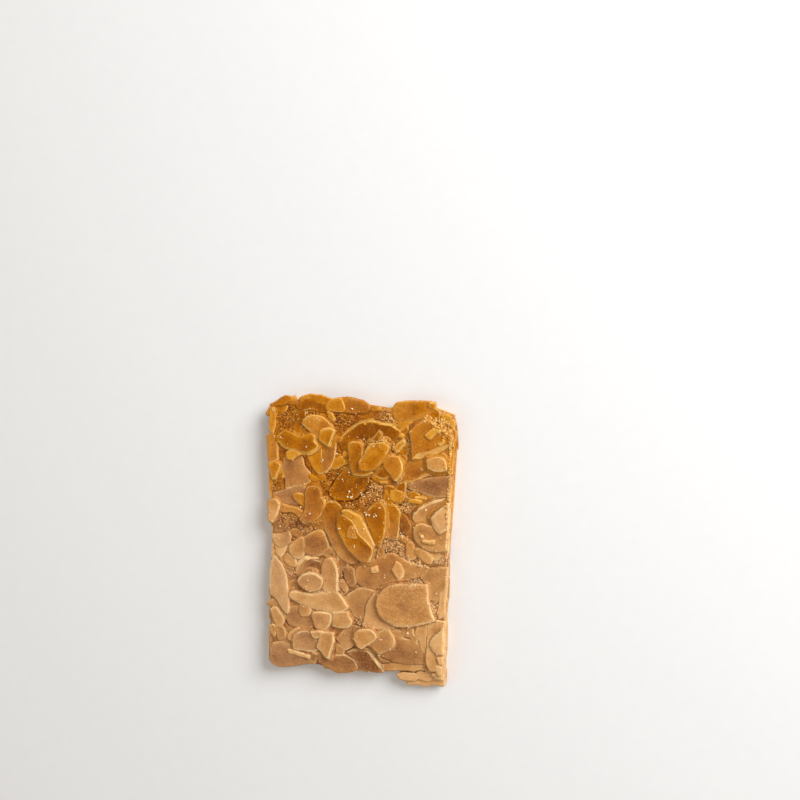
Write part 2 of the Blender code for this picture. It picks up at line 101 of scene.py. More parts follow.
# The outlines of the large slices, in mm; a point with ! is a sharp corner.
SLICE_OUTLINES = {
    1: "13.5,16.3 15.5,17.6 18,18.7 21,19.3 24.6,19.9! 24.5,14.4! 21.5,14.2 18,14.8 15.5,15.4",
    2: "-8,12.5 -7,15 -5.5,17.6 -3,19.6 0,19.5 2.2,18.6 2.8,17 2,15 0.6,13.2 -1.5,11.6 -4,11 -6.5,11.2",
    3: "-23.6,11 -21,12.2 -18.2,13.4 -15.5,14 -14,13.4 -14.3,10.5 -15.5,9.3 -19,8.6 -21.5,8.7 -23.3,9.6",
    4: "7.2,-29.8 8.5,-30.8 11,-31.5 15.4,-31.6 19.8,-31.1! 19.5,-28.8 18.3,-26! 16.7,-25.4 14,-24.8 "
       "11,-24.9 10.5,-27.3 8.8,-28.8",
    5: "-23.7,-31.4 -22.4,-30.1 -19.8,-29.7 -17,-30.6 -14,-32.2 -12.2,-33.6 -12.8,-34.8 -15,-35.4 "
       "-18.2,-36.3 -21.3,-36.8! -23.4,-36 -23.8,-33.9",
    6: "8.6,35.7 9.4,37.9! 11.9,38.5 14.5,38.6 17.1,38.9 19.9,38.6! 19.9,36.8 18.8,36 17.3,34.9 15,33.9 "
       "12,33.3 9.8,33.5",
    7: "-17.6,35.2 -16,36.7 -14.3,37.7 -12,37.8 -10,37 -8.4,35.5 -9.2,34.4 -11,34 -13,34.3 -15.2,34.4",
    8: "-7.6,36.8 -6.6,37.8 -5,38.2 -2,38.3 0.5,37.6 2.4,36.4 2,35.1 -1,34.5 -4.2,34.6 -6.8,35.4",
    9: "-5,28 -4.1,29.4 -2.5,30.9 -0.7,32 1.3,32.9 3.6,33.2 5.8,32.8 8.2,32.7 9.7,32.1 10.8,30.9 10.6,29.5 "
       "8.5,28 5,27 0,25.5 -3.5,24 -5.2,25.8",
    10: "-11,23 -10.9,20.3 -10.3,18.6 -9.3,18 -8.2,18.7 -7.2,20.2 -6.5,22.4 -6.3,24.8 -6.8,27 -9,27.6 "
        "-10.8,26",
    11: "-20.7,21.5 -20.5,17 -20.1,12.9! -17.6,13.6 -15.2,14.2 -13.4,15! -12.9,16.4 -13.6,18 -14.9,19.2 "
        "-15.5,21 -15.9,22.3! -18.5,22.8",
    12: "-25.3,27 -24.2,27.4 -23,26.6 -22.6,24.5 -22.3,20.6! -23.6,20 -25.2,20.1! -25.3,23.5",
    13: "8.4,10.8 9.5,11.2 10.5,10.9 11.5,9.6 11.9,7.8 11.8,5.5 11.4,3.5 11.3,1.8! 9.3,1.8 7.6,2.2 7.3,5 "
        "7.6,8",
    14: "-15.6,-2 -14.8,0 -13.4,1 -11.8,2 -10.4,2.4 -9.4,1.9 -8.4,0 -7.8,-2 -8.8,-3.8 -10.6,-4.6 "
        "-12.8,-4.6 -14.6,-4.1",
    15: "-8.6,10.3 -7.2,10.6 -5.6,10 -4,8.3 -3,6 -1,0 0.5,-4 -0.5,-5.8 -2.6,-5.6 -4.6,-4.4 -6.3,-2.4 "
        "-7.9,0.2 -9.1,2.8 -9.8,6 -9.5,8.6",
    16: "-23.6,-0.1 -21.8,0.1 -20.2,0.7 -19.1,1.3! -18.5,0.4 -18.5,-1.2 -19.2,-2.4 -21,-3.4 -22.5,-3 "
        "-23.4,-1.8",
    17: "11.6,17.1 12.6,16.7 14,16.9 15.8,17.9 18,19 20.6,19.7 24.7,20.6! 24.7,27.8! 22,26.8 19,25.3 "
        "15,24.2 13.2,22.6 12.3,20.3",
    18: "14.9,9.3! 16.5,10.9 18.6,12.4 20.8,13.5 24.5,14.5! 24.5,6! 20,5 16,6.6 15,7.8",
    19: "4.6,-4.2 6.7,-3.3 8.4,-2.3 10,-1.9! 11.5,-2.6 13.2,-3.5 15.4,-4.1 17.6,-4.6 19.8,-4.9! 18.9,-6.2 "
        "17.5,-7.4 15.5,-8.2 13,-9.1 10.2,-10.1 7.8,-11.2 6.2,-12 4.3,-12.4 2.3,-12.2 0.6,-11.1 -0.4,-9.4 "
        "0,-7.4 1.6,-5.7",
    20: "18.8,-6! 20,-5.1 22,-4.7 24.4,-4.7! 24.4,-11! 23.3,-11.2 23,-13 22,-13.9 20.8,-13.5 20.2,-12 "
        "19.8,-10 18.2,-8.4 17.6,-7.6",
    21: "1.2,-12.3 3.3,-12.3 5.2,-13 4.2,-15 3.2,-18 2.6,-20.4 0.8,-20.6 -0.8,-19.1! -1.9,-17.3 "
        "-2.9,-15.4! -1.2,-13.8",
    22: "-2.8,-24.2 -1.5,-23.3 0.2,-22.9 1.9,-23.2! 1.5,-24.5 0.5,-26 0.4,-27.5 -0.8,-28.8 -2.6,-30! "
        "-4,-28.5 -4.8,-27 -4,-25.5",
    23: "-2,-30.4! 0,-29.3 2,-28.8 3.8,-28.9! 5.2,-30.1 6.7,-31.9 8,-33.4 8.1,-34.6! 6.6,-35.1 3.6,-34.8 "
        "1.2,-34 0.4,-32.5",
    24: "-19.7,-22 -19,-20.4 -17.5,-19.3 -14.5,-19.2 -12,-20.2 -11.5,-22.5 -12,-24.8 -14.3,-25.5 -16.5,-25 "
        "-18.2,-24.7 -19.4,-23.5",
    25: "-14.5,-4.9! -12.8,-5 -10.5,-5.1 -9.4,-5.8! -9.6,-8.5 -12,-9.8 -15,-11 -17.3,-10! -16.8,-8 "
        "-15.8,-6.1",
    26: "-9.3,-31.2 -7,-32 -5,-31.5 -3,-31.2 -0.6,-31.8 0.8,-33 0.7,-34.9 -1.6,-36 -3.7,-36.4 -6,-36 "
        "-8.5,-34.9 -10,-33.6",
    27: "-14,13.4 -12.6,14.2 -10.7,14 -10,12.6 -9.7,11.2 -8.8,10.8! -9,9.2 -9.8,7.3 -11,5.6 -12.8,4.6 "
        "-15,4.3 -15.9,5! -14.6,7 -14.3,10.5",
    28: "14.4,23.6! 17.1,24.3 20,25.1 22.2,26.5 24.8,28! 24.8,30 23.5,31.2 22.2,32.1! 20.1,32.4! 19.9,33 "
        "18.4,34.2! 17.4,34.1! 15.2,32.5 13.5,30.8! 14,28.5 14.3,26",
    29: "5.8,-13 4.4,-14.4 3.4,-16.5 2.9,-19.5 2.4,-22.3! 5,-22.7 8,-22.6 10.8,-22.3! 11.4,-19 8,-14",
    30: "20.1,-19.6! 22.3,-18.9 24.3,-19.1! 24.4,-30.5 23.5,-31.7 22.6,-32.4 21,-32.5! 20.1,-31 20,-26",
    31: "-24.6,9.4 -23.4,9.9 -22,9.4 -21.5,8.2 -22.1,6.3 -22.8,4.4 -23.4,3.5! -24.3,3.8 -24.6,6.5",
    32: "4,10.4 5.4,11.4 6.8,11 7.7,9.3 7.9,7.2 7.7,4 7.3,1.8 6,-0.2 5,0.3 4.2,3 3.2,5.2 2.4,7.2 2.8,9",
    33: "15.5,5 15.9,6.3! 17.5,6.8 19.5,6.5 21.3,6.2 24.5,6.8! 24.5,0.3! 23,0 20.6,-0.1 18.9,0.1 17.5,0.9 "
        "16.4,1.8 15.6,3.3",
    34: "-2.6,26.4 -1.8,26.9 0.2,27.1! 0.9,26 1.2,23 2.5,20.3 4.1,19.3! 2,18.4 -1.4,18.3! -2.2,21 -2.6,24",
    35: "7.8,24 8.7,24.1! 11,23.7 11.9,22.4 12,20.3 11.5,18.5 10.6,17.8 9.5,17.9 8.7,19 7.8,20 6.9,20.9! "
        "7.1,22.4",
    36: "-15.7,30.9! -14.5,32.8! -12.9,33.2 -10.4,32.9 -9.5,32.5! -7.6,31 -6.4,29.6! -8.1,25.3! "
        "-10.9,26.9! -12.2,28.1 -13.9,29.4",
    37: "-22.9,26.2 -21.7,27.7 -20.2,28.6 -18.4,28 -16.5,27.4 -14.5,27.9 -12.8,28.3 -11.9,27.4 -11.4,25.9 "
        "-10.9,24.6 -11.9,23.5 -13.2,22.8 -15.2,22.6 -17.1,22.9 -19.3,23.5 -21.5,24.8",
    38: "-9,-6 -8.2,-5.1 -7,-4.8 -6.2,-5.4 -5.5,-6.8 -5,-9 -4.9,-12 -4.8,-13.8! -8.8,-14! -9.3,-11 -9.4,-8",
    39: "-22.9,-5.8! -23.7,-8 -23.9,-11.5 -23.9,-15 -23.5,-16.6 -22.3,-17.4 -21.2,-18.8 -19.8,-20.8 "
        "-18.9,-21.5! -18.4,-20.6 -18.5,-18.5 -18.8,-15.4 -19.1,-13 -19.5,-10.8 -20.2,-9.3 -21.2,-7.7",
    40: "-11.8,-20.7 -10.8,-20 -8.9,-19.9 -6.6,-20.1! -6.5,-21.8 -7.1,-23.3 -8.2,-24.9! -9.2,-24.9 "
        "-10.8,-24.1 -11.5,-22.4",
    41: "-6.1,-19.9! -4.5,-19.4 -2,-19.1! -1.5,-20.3 -0.8,-21.9 -1.3,-22.9 -2.4,-23.5 -6.1,-23.4!",
    42: "-18.3,-16.6 -18.1,-15.4 -17,-14.9 -14.5,-15.1 -11.5,-15 -9.9,-14.6 -7.3,-14.3 -5.3,-14 -4.4,-14.7 "
        "-3,-16.2 -1.9,-18! -3.4,-18.9 -6.3,-19.5 -8.9,-19.5 -11,-19.1 -14,-18.4 -16.6,-17.6",
    43: "-17.1,-27.8 -16.3,-26.7 -14.5,-25.9 -12.3,-26 -10.8,-27.1 -9.9,-28.7 -9.8,-30.3 -11.7,-31.1 "
        "-15,-31.1 -17,-31! -17.1,-29.4",
    44: "6.6,-24 8.4,-22.8 9.7,-22.6! 10.3,-23.7 11.1,-25 10.8,-27.2 9.3,-28.5 6.9,-29.9! 5.5,-28.5 "
        "4,-27.3! 5.6,-25.8",
    45: "24.3,-20.6! 22.6,-22.3 21.1,-24.6 21.3,-26 22.9,-27.6! 24.4,-27.6!",
    46: "3.2,27.2! 5.2,27.7 6.9,27.9 8.1,27 8,25.3 6.7,22.9 5.2,20.9 3.7,20 2.1,19.7 0.6,20! 0.3,21.6 "
        "1.3,23.5 2.3,25.5",
    47: "-5.2,4.8 -4.8,6.6 -3.4,7.3 -1.8,6.7 -0.2,5 1.2,2.8 3.2,1 4.8,-0.4 5,-2.3 4.3,-3.9 3.5,-4.7! "
        "1.3,-4.6 -0.6,-3 -2.2,-1.6 -3.6,0.3 -4.7,2.6",
    48: "24.5,12.9! 21.9,10.7 19.9,8.6! 21,6.4 22.4,4.7! 23.6,5.5 24.5,6.6!",
    49: "-9.2,-25.6 -5.6,-25.2! -5.7,-28 -6.1,-30.5 -6.6,-32.6! -7.2,-32.5 -8.4,-31.2 -10.1,-29.4! "
        "-9.6,-27.3",
    50: "-15.7,-12 -15.2,-10.6 -13.6,-9.6 -11.6,-9.1 -9.8,-9.8 -8.9,-11 -9.1,-12.2 -10,-13.5 -11.9,-14.3 "
        "-13.9,-13.8 -15.2,-12.9",
    51: "1,-23.9 3,-23.1 4.5,-23 5.8,-23.9 6.4,-25! 5.4,-26.1 3.7,-27.3 2.4,-28.4! 1.4,-28 0.6,-26.6 "
        "0.2,-25.3",
    52: "18.3,23.8! 20,24.6 22.1,24.7 23.2,23.7 23.6,21.6! 21,21.2 18.9,21.6! 18.5,22.7",
    53: "9.5,-10.7 11.5,-10 13.2,-9.8 15.5,-9.7 17.6,-9.5 19.7,-9.4! 19.8,-11.7 20,-14.2 20.8,-16.7 "
        "21.9,-18.7! 19.7,-19.4 17.6,-20.3 15.4,-20.9 13.2,-21.2 11.3,-21.2 9.3,-20.4 7.6,-19.1 6.5,-17.4 "
        "6.2,-15.4 6.5,-13.7 7.6,-12",
}

# The large slices by how dark they roasted, from 0 for pale to 1 for dark brown.
ROASTED_SLICES = {
    0.0: (45,), 0.1: (48,), 0.15: (29,), 0.2: (42, 52), 0.25: (16, 18, 30, 35, 39, 41, 51),
    0.3: (12, 31, 38, 50), 0.35: (6, 33, 36, 40, 53), 0.4: (11, 13, 14, 20, 24, 44, 46),
    0.45: (17, 19, 22, 25, 28, 49), 0.5: (8, 10, 21, 27), 0.55: (15, 32, 34, 43, 47),
    0.6: (1, 5, 37), 0.65: (2, 3, 4), 0.7: (7, 9, 26), 0.95: (23,),
}

# Slices that stayed tan among the amber ones, from 0 for amber to 1 for tan; below 0 is deeper amber.
SLICE_TAN = {
    1: 0.75, 3: 0.7, 6: 0.12, 8: 0.15, 10: 0.3, 11: 0.7, 12: 0.2, 17: 0.1, 18: 0.85, 27: 0.15, 28: 0.1,
    31: 0.5, 32: -0.6, 33: 0.65, 35: 0.1, 36: 0.15, 47: -0.6, 48: 0.95, 52: 0.55,
}

# How strong a slice's own colour is: below 0 for a greyer nut, above 0 for a more orange one.
SLICE_WARMTH = {
    1: -0.2, 2: 0.1, 3: -0.25, 5: -0.4, 9: 0.15, 16: -0.25, 17: -0.1, 22: -0.15, 24: -0.15, 37: 0.1,
    38: -0.15, 39: -0.4, 40: -0.15, 43: -0.35, 50: -0.2, 51: 0.25, 53: 0.1,
}

# Slices with a sandy, sugary surface, from 0 for smooth to 1.
SANDY_SLICES = {2: 0.25, 24: 0.15, 53: 0.7}

# The cut edge of a slice is a pale slant: the way it faces in degrees, and its width in mm.
SLICE_SLANTS = {
    2: (90, 0.0), 5: (0, 0.15), 9: (95, 0.75), 10: (-60, 0.45), 11: (-90, 0.25), 13: (-10, 0.5),
    15: (150, 0.5), 17: (-75, 0.85), 18: (120, 0.7), 21: (200, 0.25), 23: (35, 0.9), 25: (110, 1.0),
    26: (60, 0.4), 28: (-75, 1.2), 29: (160, 0.2), 32: (0, 0.2), 34: (-90, 0.3), 35: (-20, 0.5),
    36: (-60, 0.3), 37: (-50, 1.0), 39: (150, 0.3), 42: (-50, 0.35), 43: (-30, 0.3),
    45: (180, 0.4), 46: (90, 0.5), 47: (25, 0.55), 48: (200, 0.45), 49: (-70, 0.4), 50: (100, 0.3),
    51: (-70, 0.3), 52: (-90, 0.5), 53: (-60, 0.38),
}

# Small flakes on the face: how far each stands up in mm, its roast, and its outline.
SHARDS = (
    (0.02, 0.35, "-16.6,36.9 -14.8,38.3 -12.2,38.6 -9.2,38.1 -7.6,37.2 -9,36.2 -12,36.6 -14.5,36.4"),
    (0.25, 0.3, "-9.3,35.5 -8.6,37 -7,37.8 -5.3,38 -4.5,36.6 -4.3,35.2 -6.8,34.7"),
    (0.06, 0.6, "14.2,38.1! 17.4,38.8! 17.5,36.6! 14.6,35.1!"),
    (0.25, 0.3, "18.3,38.7! 20,38.6! 20.1,36.8! 18.3,37.6!"),
    (0.45, 0.35, "-25,35! -23,36.3 -21.5,37.3 -20.2,37.9 -18.8,37.7! -18.7,36.9 -20.3,35.8 -22.8,35.1"),
    (0.55, 0.3, "-24,34.6 -23.3,33.4 -23.4,29 -23.9,27.4! -24.6,28.9 -24.7,32.2"),
    (0.12, 0.35, "-14,22.2 -13,20 -11.9,18.5 -10.4,17.8 -9.4,18.4 -10,22 -10.5,24.5 -13,24.6"),
    (0.45, 0.05, "-20,22.6 -19.6,21.1! -18.4,20.9! -17.1,22 -15.8,22.6 -17,23.6 -19,23.6"),
    (0.3, 0.3, "-24.6,19.5 -24.5,17 -23.9,15.4 -23.2,15.2 -22.4,16.5 -22,19.4"),
    (0.35, 0.2, "9.3,25.7 10.2,27.3 11.9,28.7! 12.4,27.8 11.1,26.1 10,25.2"),
    (0.45, 0.0, "10.4,29.3 11.1,29.9 11.9,29.7! 11.5,29.1"),
    (0.5, 0.0, "17.7,30.2! 18.9,29.4! 21.2,31.6! 19.8,32.2!"),
    (0.4, 0.0, "21.1,28.2! 21.8,27.8! 22.9,28.9! 22.4,29.6! 22.2,29!"),
    (0.3, 0.3, "8.7,14.7! 11,15 12.4,14 11.9,12.4 10.4,11.9 8.8,12.6!"),
    (0.45, 0.1, "13.7,12.7! 15.4,13 17.1,12.8! 17.1,12.2 15.2,12.1 13.9,12"),
    (0.4, 0.0, "15.3,13.5! 17,13.9 18.5,13.7! 18.3,13.3 16.7,13.4"),
    (0.05, 0.6, "2.6,27.4! 4.2,29 5.3,30.4! 6.3,29 7.4,28.3 6.6,27.4!"),
    (0.2, 0.7, "4.6,18.3! 6,17.8 7.8,18.1 8.4,19.1 7,20.3 4.9,20"),
    (0.25, 0.2, "5.6,17! 7.9,17.1! 7.8,16.6 5.8,16.5"),
    (0.5, 0.0, "18,2.7! 19.5,2.5 21.1,2.8! 21,2 19.3,1.9 18,2!"),
    (0.35, 0.0, "17.4,3.8 18,3.9 18.1,3.3 17.6,3.2"),
    (0.4, 0.35, "15.7,-0.3! 17.6,0 19.3,-0.7 20.4,-2.2 20.4,-3.5 18.8,-3.5 17.3,-2.4 16.1,-1.3"),
    (0.25, 0.4, "13.7,1.2 14.8,1.6 15.6,0 15.9,-2.6 14,-2.7 13.6,-0.8"),
    (0.25, 0.15, "-4,8.3 -2.5,8.7 -0.5,8 0.8,7.2 2.3,5.4 3.7,2.8 5.1,0.1! 4,-0.6 1,2 -1.5,5.5"),
    (0.12, 0.3, "-2.2,3.8 -1,4.7 0.2,3.2 0.9,1.6! -0.8,1.3 -2.6,1.6!"),
    (0.4, 0.1, "1.4,-5.1! 3.4,-4.8! 3.3,-5.6 2.1,-6.4!"),
    (0.4, 0.05, "4.2,-6.5! 5.7,-5.8! 6,-7.1! 4.3,-7.6!"),
    (0.45, 0.15, "11,-4.1 12.4,-5 13.1,-6.5 12.7,-8 11.9,-9! 11,-8 9.8,-6.3! 10.4,-5.2"),
    (0.4, 0.1, "23.1,-10.9! 24.4,-10.6! 24.4,-17.4! 23,-18.2 22.4,-17 22.9,-14"),
    (0.35, 0.2, "17,-21.1 18.5,-20.1 20.6,-20.1! 19.9,-22.2 19.8,-25.5 19.8,-28.5! 18.5,-27.4 18,-25.2 "
                "17,-24 16.6,-22.7"),
    (0.2, 0.5, "10.2,-23.2 12.9,-22.9 13.4,-24.2 12.9,-25! 10.9,-24.9!"),
    (0.3, 0.45, "13.3,-21.6 15.8,-21.4 16.3,-23.2 17.3,-24.5 17,-25.7! 15.9,-25.6 15.3,-24.4 13.4,-23.7"),
    (0.4, 0.05, "-18.7,-31.5 -17.1,-31.4 -15,-32.1 -12.3,-32.7! -12.4,-33.3! -14.2,-33.1 -16.7,-32.6 "
                "-18.2,-32.4!"),
    (0.3, 0.1, "-11.9,-31.2! -10.2,-31.6! -10.4,-32.1 -11.7,-31.9"),
    (0.3, 0.35, "-15.4,-18.8 -12.9,-18.6 -12.2,-19.6 -12.7,-21.1 -15,-21.9! -15.5,-20.2"),
    (0.35, 0.4, "-23.6,-20.8 -22.8,-20.1 -20.9,-21.6 -20,-23.1 -20.4,-24.8 -21.7,-25 -23,-23.2"),
    (0.35, 0.4, "-22.4,-25.3 -20.4,-25.2 -19.4,-26.6 -19.8,-28.6 -21.3,-29.2! -21.9,-27.4"),
    (0.3, 0.4, "-23.7,-25.4 -22.6,-25.2 -22.2,-27.4 -22.8,-28.5! -23.5,-27.4"),
    (0.3, 0.3, "-18.8,-28.2 -18.3,-27 -17,-25.9 -15.5,-25.4 -16.4,-27.3 -17.6,-29!"),
    (0.3, 0.25, "-12,-25.6! -9,-25.1 -7.8,-25.6 -9.5,-26.7 -10.9,-26.9"),
    (0.15, 0.75, "-3,-7.6 -1.2,-7 -0.4,-9 0,-11 -1.2,-12.3 -2.6,-11 -3.2,-9.3"),
    (0.25, 0.85, "-14.4,-9 -14.2,-7.3 -13,-6.1 -11,-5.9 -9.5,-6.4 -9.4,-8.3 -11.5,-8.9"),
    (0.2, 0.4, "-18.8,-3.4 -18,-2 -16.8,-0.8 -15,-0.2 -14.4,-2 -14.6,-4.4 -15.8,-5.7 -17.5,-5.5"),
    (0.3, 0.4, "-17.8,11.4 -15.2,11.8! -14.2,10.9 -14.5,8.8 -16.6,9.5"),
    (0.3, 0.35, "-21.4,8.4 -19,8.2 -16.5,7.8 -14.9,6.6 -16,5.7 -18,6.6 -21.5,6.9"),
    (0.5, 0.1, "23,-28.7 24.4,-28.4 24.5,-30.2 23.6,-30.4"),
    (0.3, 0.0, "22.6,-31 23.6,-30.8 24.5,-31.4! 24.4,-33! 23.4,-33.4 22.9,-32.2"),
    (0.35, 0.05, "21.6,-33.6! 23.4,-33.2 24.4,-33.8! 24.3,-34.8 22.6,-34.5"),
    (0.4, 0.1, "21.9,35.5 22.7,35.9! 23.8,35.6! 24.2,34.9! 23,34.6 21.9,34.7!"),
    (0.3, 0.2, "23.8,34.4! 24.9,34.7 25.2,33.8 25,31.9! 24.3,32.4!"),
    (0.3, 0.35, "-10.6,29.4! -9.7,29.9 -7.7,30.3! -6.4,29.7! -8,25.4! -10.7,27!"),
    (0.3, 0.35, "-9.2,34.6! -7.7,34 -6.6,32.4! -7.3,32.1 -8.4,32.6!"),
)

# Layers that stick out of the broken corner: top height in mm, roast, and outline.
CORNER_LAYERS = (
    (4.25, 0.3, "7.2,-33! 10,-32.4 14,-32 19.8,-31.3! 20,-33! 17.5,-33.1 16.5,-33.6! 13,-33.7 10.4,-34.1 "
                "8,-34.5!"),
    (3.85, 0.0, "11.6,-35.2! 13.5,-34.6 17,-34.5! 17.4,-34 20.5,-34.1 24.3,-33.4! 24.4,-35.3! 21.3,-35.3! "
                "20.6,-35.9 17.4,-35.7! 16.6,-36.3 12.5,-36.4!"),
    (3.2, -0.1, "13.8,-36.2! 24.3,-35.2! 24.4,-37.2! 20.8,-37.1 19.8,-37.6! 17.5,-37.5 14.4,-37.9! "
                "15.2,-37.2! 13.4,-36.9!"),
    (2.4, 0.15, "13,-33.6! 24.3,-33.6! 24.4,-36.9! 19,-37.1 15,-37.2 13.2,-36.4!"),
    (1.6, -0.1, "13.6,-33.6! 24.3,-33.6! 24.3,-36.6! 20,-36.8 16,-36.6 14.4,-35.8!"),
    (0.8, 0.3, "14.2,-33.6! 24.3,-33.6! 24.3,-36.9! 19,-36.9 15.6,-36.5 13.7,-35.6!"),
)

# Bare, bubbly caramel between the slices: centre x and y, and reach, in mm.
POROUS_PATCHES = (
    (-19.5, 31.6, 5.2), (-13.0, 34.5, 2.6), (-5.5, 33.0, 4.0), (-6.8, 18.5, 3.2), (-8.5, 14.0, 2.4),
    (4.0, 15.6, 4.2), (1.5, 13.0, 3.6), (6.0, 13.0, 2.6), (13.0, 26.6, 2.6), (9.5, 26.0, 1.6),
    (4.0, 29.0, 4.0), (8.0, 34.5, 3.4), (22.0, 33.6, 4.0), (12.5, 16.3, 3.0), (12.2, 10.5, 2.2),
    (9.3, -0.6, 4.3), (12.6, 2.6, 2.2), (22.0, -2.0, 1.8), (-3.8, -9.8, 3.2), (-3.6, -13.6, 1.6),
    (-18.5, 4.0, 4.2), (-14.5, 3.0, 2.6), (-18.6, -10.5, 2.0), (-22.6, 13.4, 2.2), (16.5, -8.6, 2.4),
    (-2.0, 9.0, 2.4), (-1.0, -29.8, 1.8), (21.5, -15.5, 1.6), (1.0, -22.0, 2.0), (-9.0, -25.6, 1.4),
    (12.5, 12.0, 2.6), (17.5, -33.0, 3.0),
)

# ---------------------------------------------------------------- small helpers


def deselect():
    if bpy.context.object and bpy.context.object.mode != "OBJECT":
        bpy.ops.object.mode_set(mode="OBJECT")
    bpy.ops.object.select_all(action="DESELECT")


def take(piece):
    """Makes one piece the only selected and active one."""
    deselect()
    piece.select_set(True)
    bpy.context.view_layer.objects.active = piece


def edit_all():
    """Goes into edit mode with the whole mesh selected."""
    bpy.ops.object.mode_set(mode="EDIT")
    bpy.ops.mesh.select_all(action="SELECT")


def face_outwards():
    """Turns all faces of the mesh in edit mode outwards, and leaves edit mode."""
    bpy.ops.mesh.select_all(action="SELECT")
    bpy.ops.mesh.normals_make_consistent(inside=False)
    bpy.ops.object.mode_set(mode="OBJECT")


def smooth(piece):
    for polygon in piece.data.polygons:
        polygon.use_smooth = True


def copy_of(pattern):
    """A copy of a piece, with a mesh of its own."""
    piece = pattern.copy()
    piece.data = pattern.data.copy()
    bpy.context.scene.collection.objects.link(piece)
    return piece


def apply_modifier(piece, kind, **settings):
    take(piece)
    modifier = piece.modifiers.new(kind.lower(), kind)
    for name, value in settings.items():
        setattr(modifier, name, value)
    bpy.ops.object.modifier_apply(modifier=modifier.name)


def join(pieces, name):
    take(pieces[0])
    for piece in pieces:
        piece.select_set(True)
    bpy.ops.object.join()
    pieces[0].name = pieces[0].data.name = name
    return pieces[0]


def read_points(mesh):
    points = np.empty(len(mesh.vertices) * 3)
    mesh.vertices.foreach_get("co", points)
    return points.reshape(-1, 3)


def write_points(mesh, points):
    mesh.vertices.foreach_set("co", np.ascontiguousarray(points, float).ravel())
    mesh.update()


def read_normals(mesh):
    normals = np.empty(len(mesh.vertices) * 3)
    mesh.vertices.foreach_get("normal", normals)
    return normals.reshape(-1, 3)


def keep_value(mesh, name, values):
    """Keeps one number for each point, which a material reads by its name."""
    attribute = mesh.attributes.get(name) or mesh.attributes.new(name, "FLOAT", "POINT")
    values = np.broadcast_to(np.asarray(values, np.float32), len(mesh.vertices))
    attribute.data.foreach_set("value", np.ascontiguousarray(values))


def ripple(x, y, pitch, seed):
    """Smooth random relief between -1 and 1 whose bumps are about pitch apart."""
    posts = 97  # random heights each way, after which the relief repeats
    lattice = np.random.default_rng(seed).uniform(-1, 1, (posts, posts))
    column, row = np.asarray(x) / pitch + 31.7, np.asarray(y) / pitch + 17.3
    left, low = np.floor(column).astype(int), np.floor(row).astype(int)
    across, up = column - left, row - low
    across, up = across * across * (3 - 2 * across), up * up * (3 - 2 * up)
    near, far = (
        lattice[left % posts, line % posts] * (1 - across)
        + lattice[(left + 1) % posts, line % posts] * across
        for line in (low, low + 1)
    )
    return near * (1 - up) + far * up


def ramp(values, start, end):
    """A smooth rise from 0 at the start to 1 at the end."""
    part = np.clip((np.asarray(values) - start) / (end - start), 0, 1)
    return part * part * (3 - 2 * part)


def within(x, y, corners):
    """Which points lie inside a closed outline."""
    inside = np.zeros(np.shape(x), bool)
    for (ax, ay), (bx, by) in zip(corners, corners[1:] + corners[:1]):
        if ay != by:
            inside ^= ((ay > y) != (by > y)) & (x < (bx - ax) * (y - ay) / (by - ay) + ax)
    return inside


# ---------------------------------------------------------------- materials


def linear(hex_colour):
    """An sRGB hex colour as the linear one that shaders take."""
    channels = [int(hex_colour[i : i + 2], 16) / 255 for i in (1, 3, 5)]
    return [c / 12.92 if c <= 0.04045 else ((c + 0.055) / 1.055) ** 2.4 for c in channels] + [1.0]


def feed(tree, node, feeds):
    """Feeds a node's inputs: each takes a source, a hex colour or a number."""
    for key, given in feeds.items():
        if isinstance(given, bpy.types.NodeSocket):
            tree.links.new(given, node.inputs[key])
        else:
            node.inputs[key].default_value = linear(given) if isinstance(given, str) else given


def add(tree, kind, feeds, out=0, **settings):
    """Adds a shader node with its settings and feeds, and gives one of its outputs."""
    node = tree.nodes.new("ShaderNode" + kind)
    for name, value in settings.items():
        setattr(node, name, value)
    feed(tree, node, feeds)
    return node.outputs[out]


def new_material(name, **sockets):
    made = bpy.data.materials.new(name)
    made.use_nodes = True
    surface = made.node_tree.nodes["Principled BSDF"]
    feed(made.node_tree, surface, {socket.replace("_", " "): value for socket, value in sockets.items()})
    return made, made.node_tree, surface


# What almond and caramel share: light goes a little way in, and a thin film of syrup
# on them reflects it warm.
BAKED = {
    "Subsurface_Radius": (1.0, 0.75, 0.5), "Coat_Roughness": 0.25,
    "Specular_IOR_Level": 0.45, "Specular_Tint": "#FFC070",
}


def far_tint(tree, place):
    """The sheet's far half is deeper amber; the change wanders across the middle."""
    patches = add(tree, "TexNoise", {"Vector": place, "Scale": 70.0, "Detail": 1.0})
    split = add(tree, "SeparateXYZ", {"Vector": place}).node
    aside = add(tree, "Math", {0: split.outputs["X"], 1: 2.0}, operation="POWER")
    up = add(tree, "Math", {0: aside, 1: -20.0, 2: split.outputs["Y"]}, operation="MULTIPLY_ADD")
    up = add(tree, "Math", {0: patches, 1: 0.012, 2: up}, operation="MULTIPLY_ADD")
    return add(tree, "MapRange", {0: up, 1: -0.008, 2: 0.016}, interpolation_type="SMOOTHSTEP")


def roast_scale(tree, shade, colours):
    """Colours from pale to dark roast, evenly spaced."""
    scale = add(tree, "ValToRGB", {"Fac": shade})
    stops = scale.node.color_ramp.elements
    for number, colour in enumerate(colours):
        spot = number / (len(colours) - 1)
        stop = stops[0] if number == 0 else stops[-1] if spot == 1 else stops.new(spot)
        stop.color = linear(colour)
    return scale


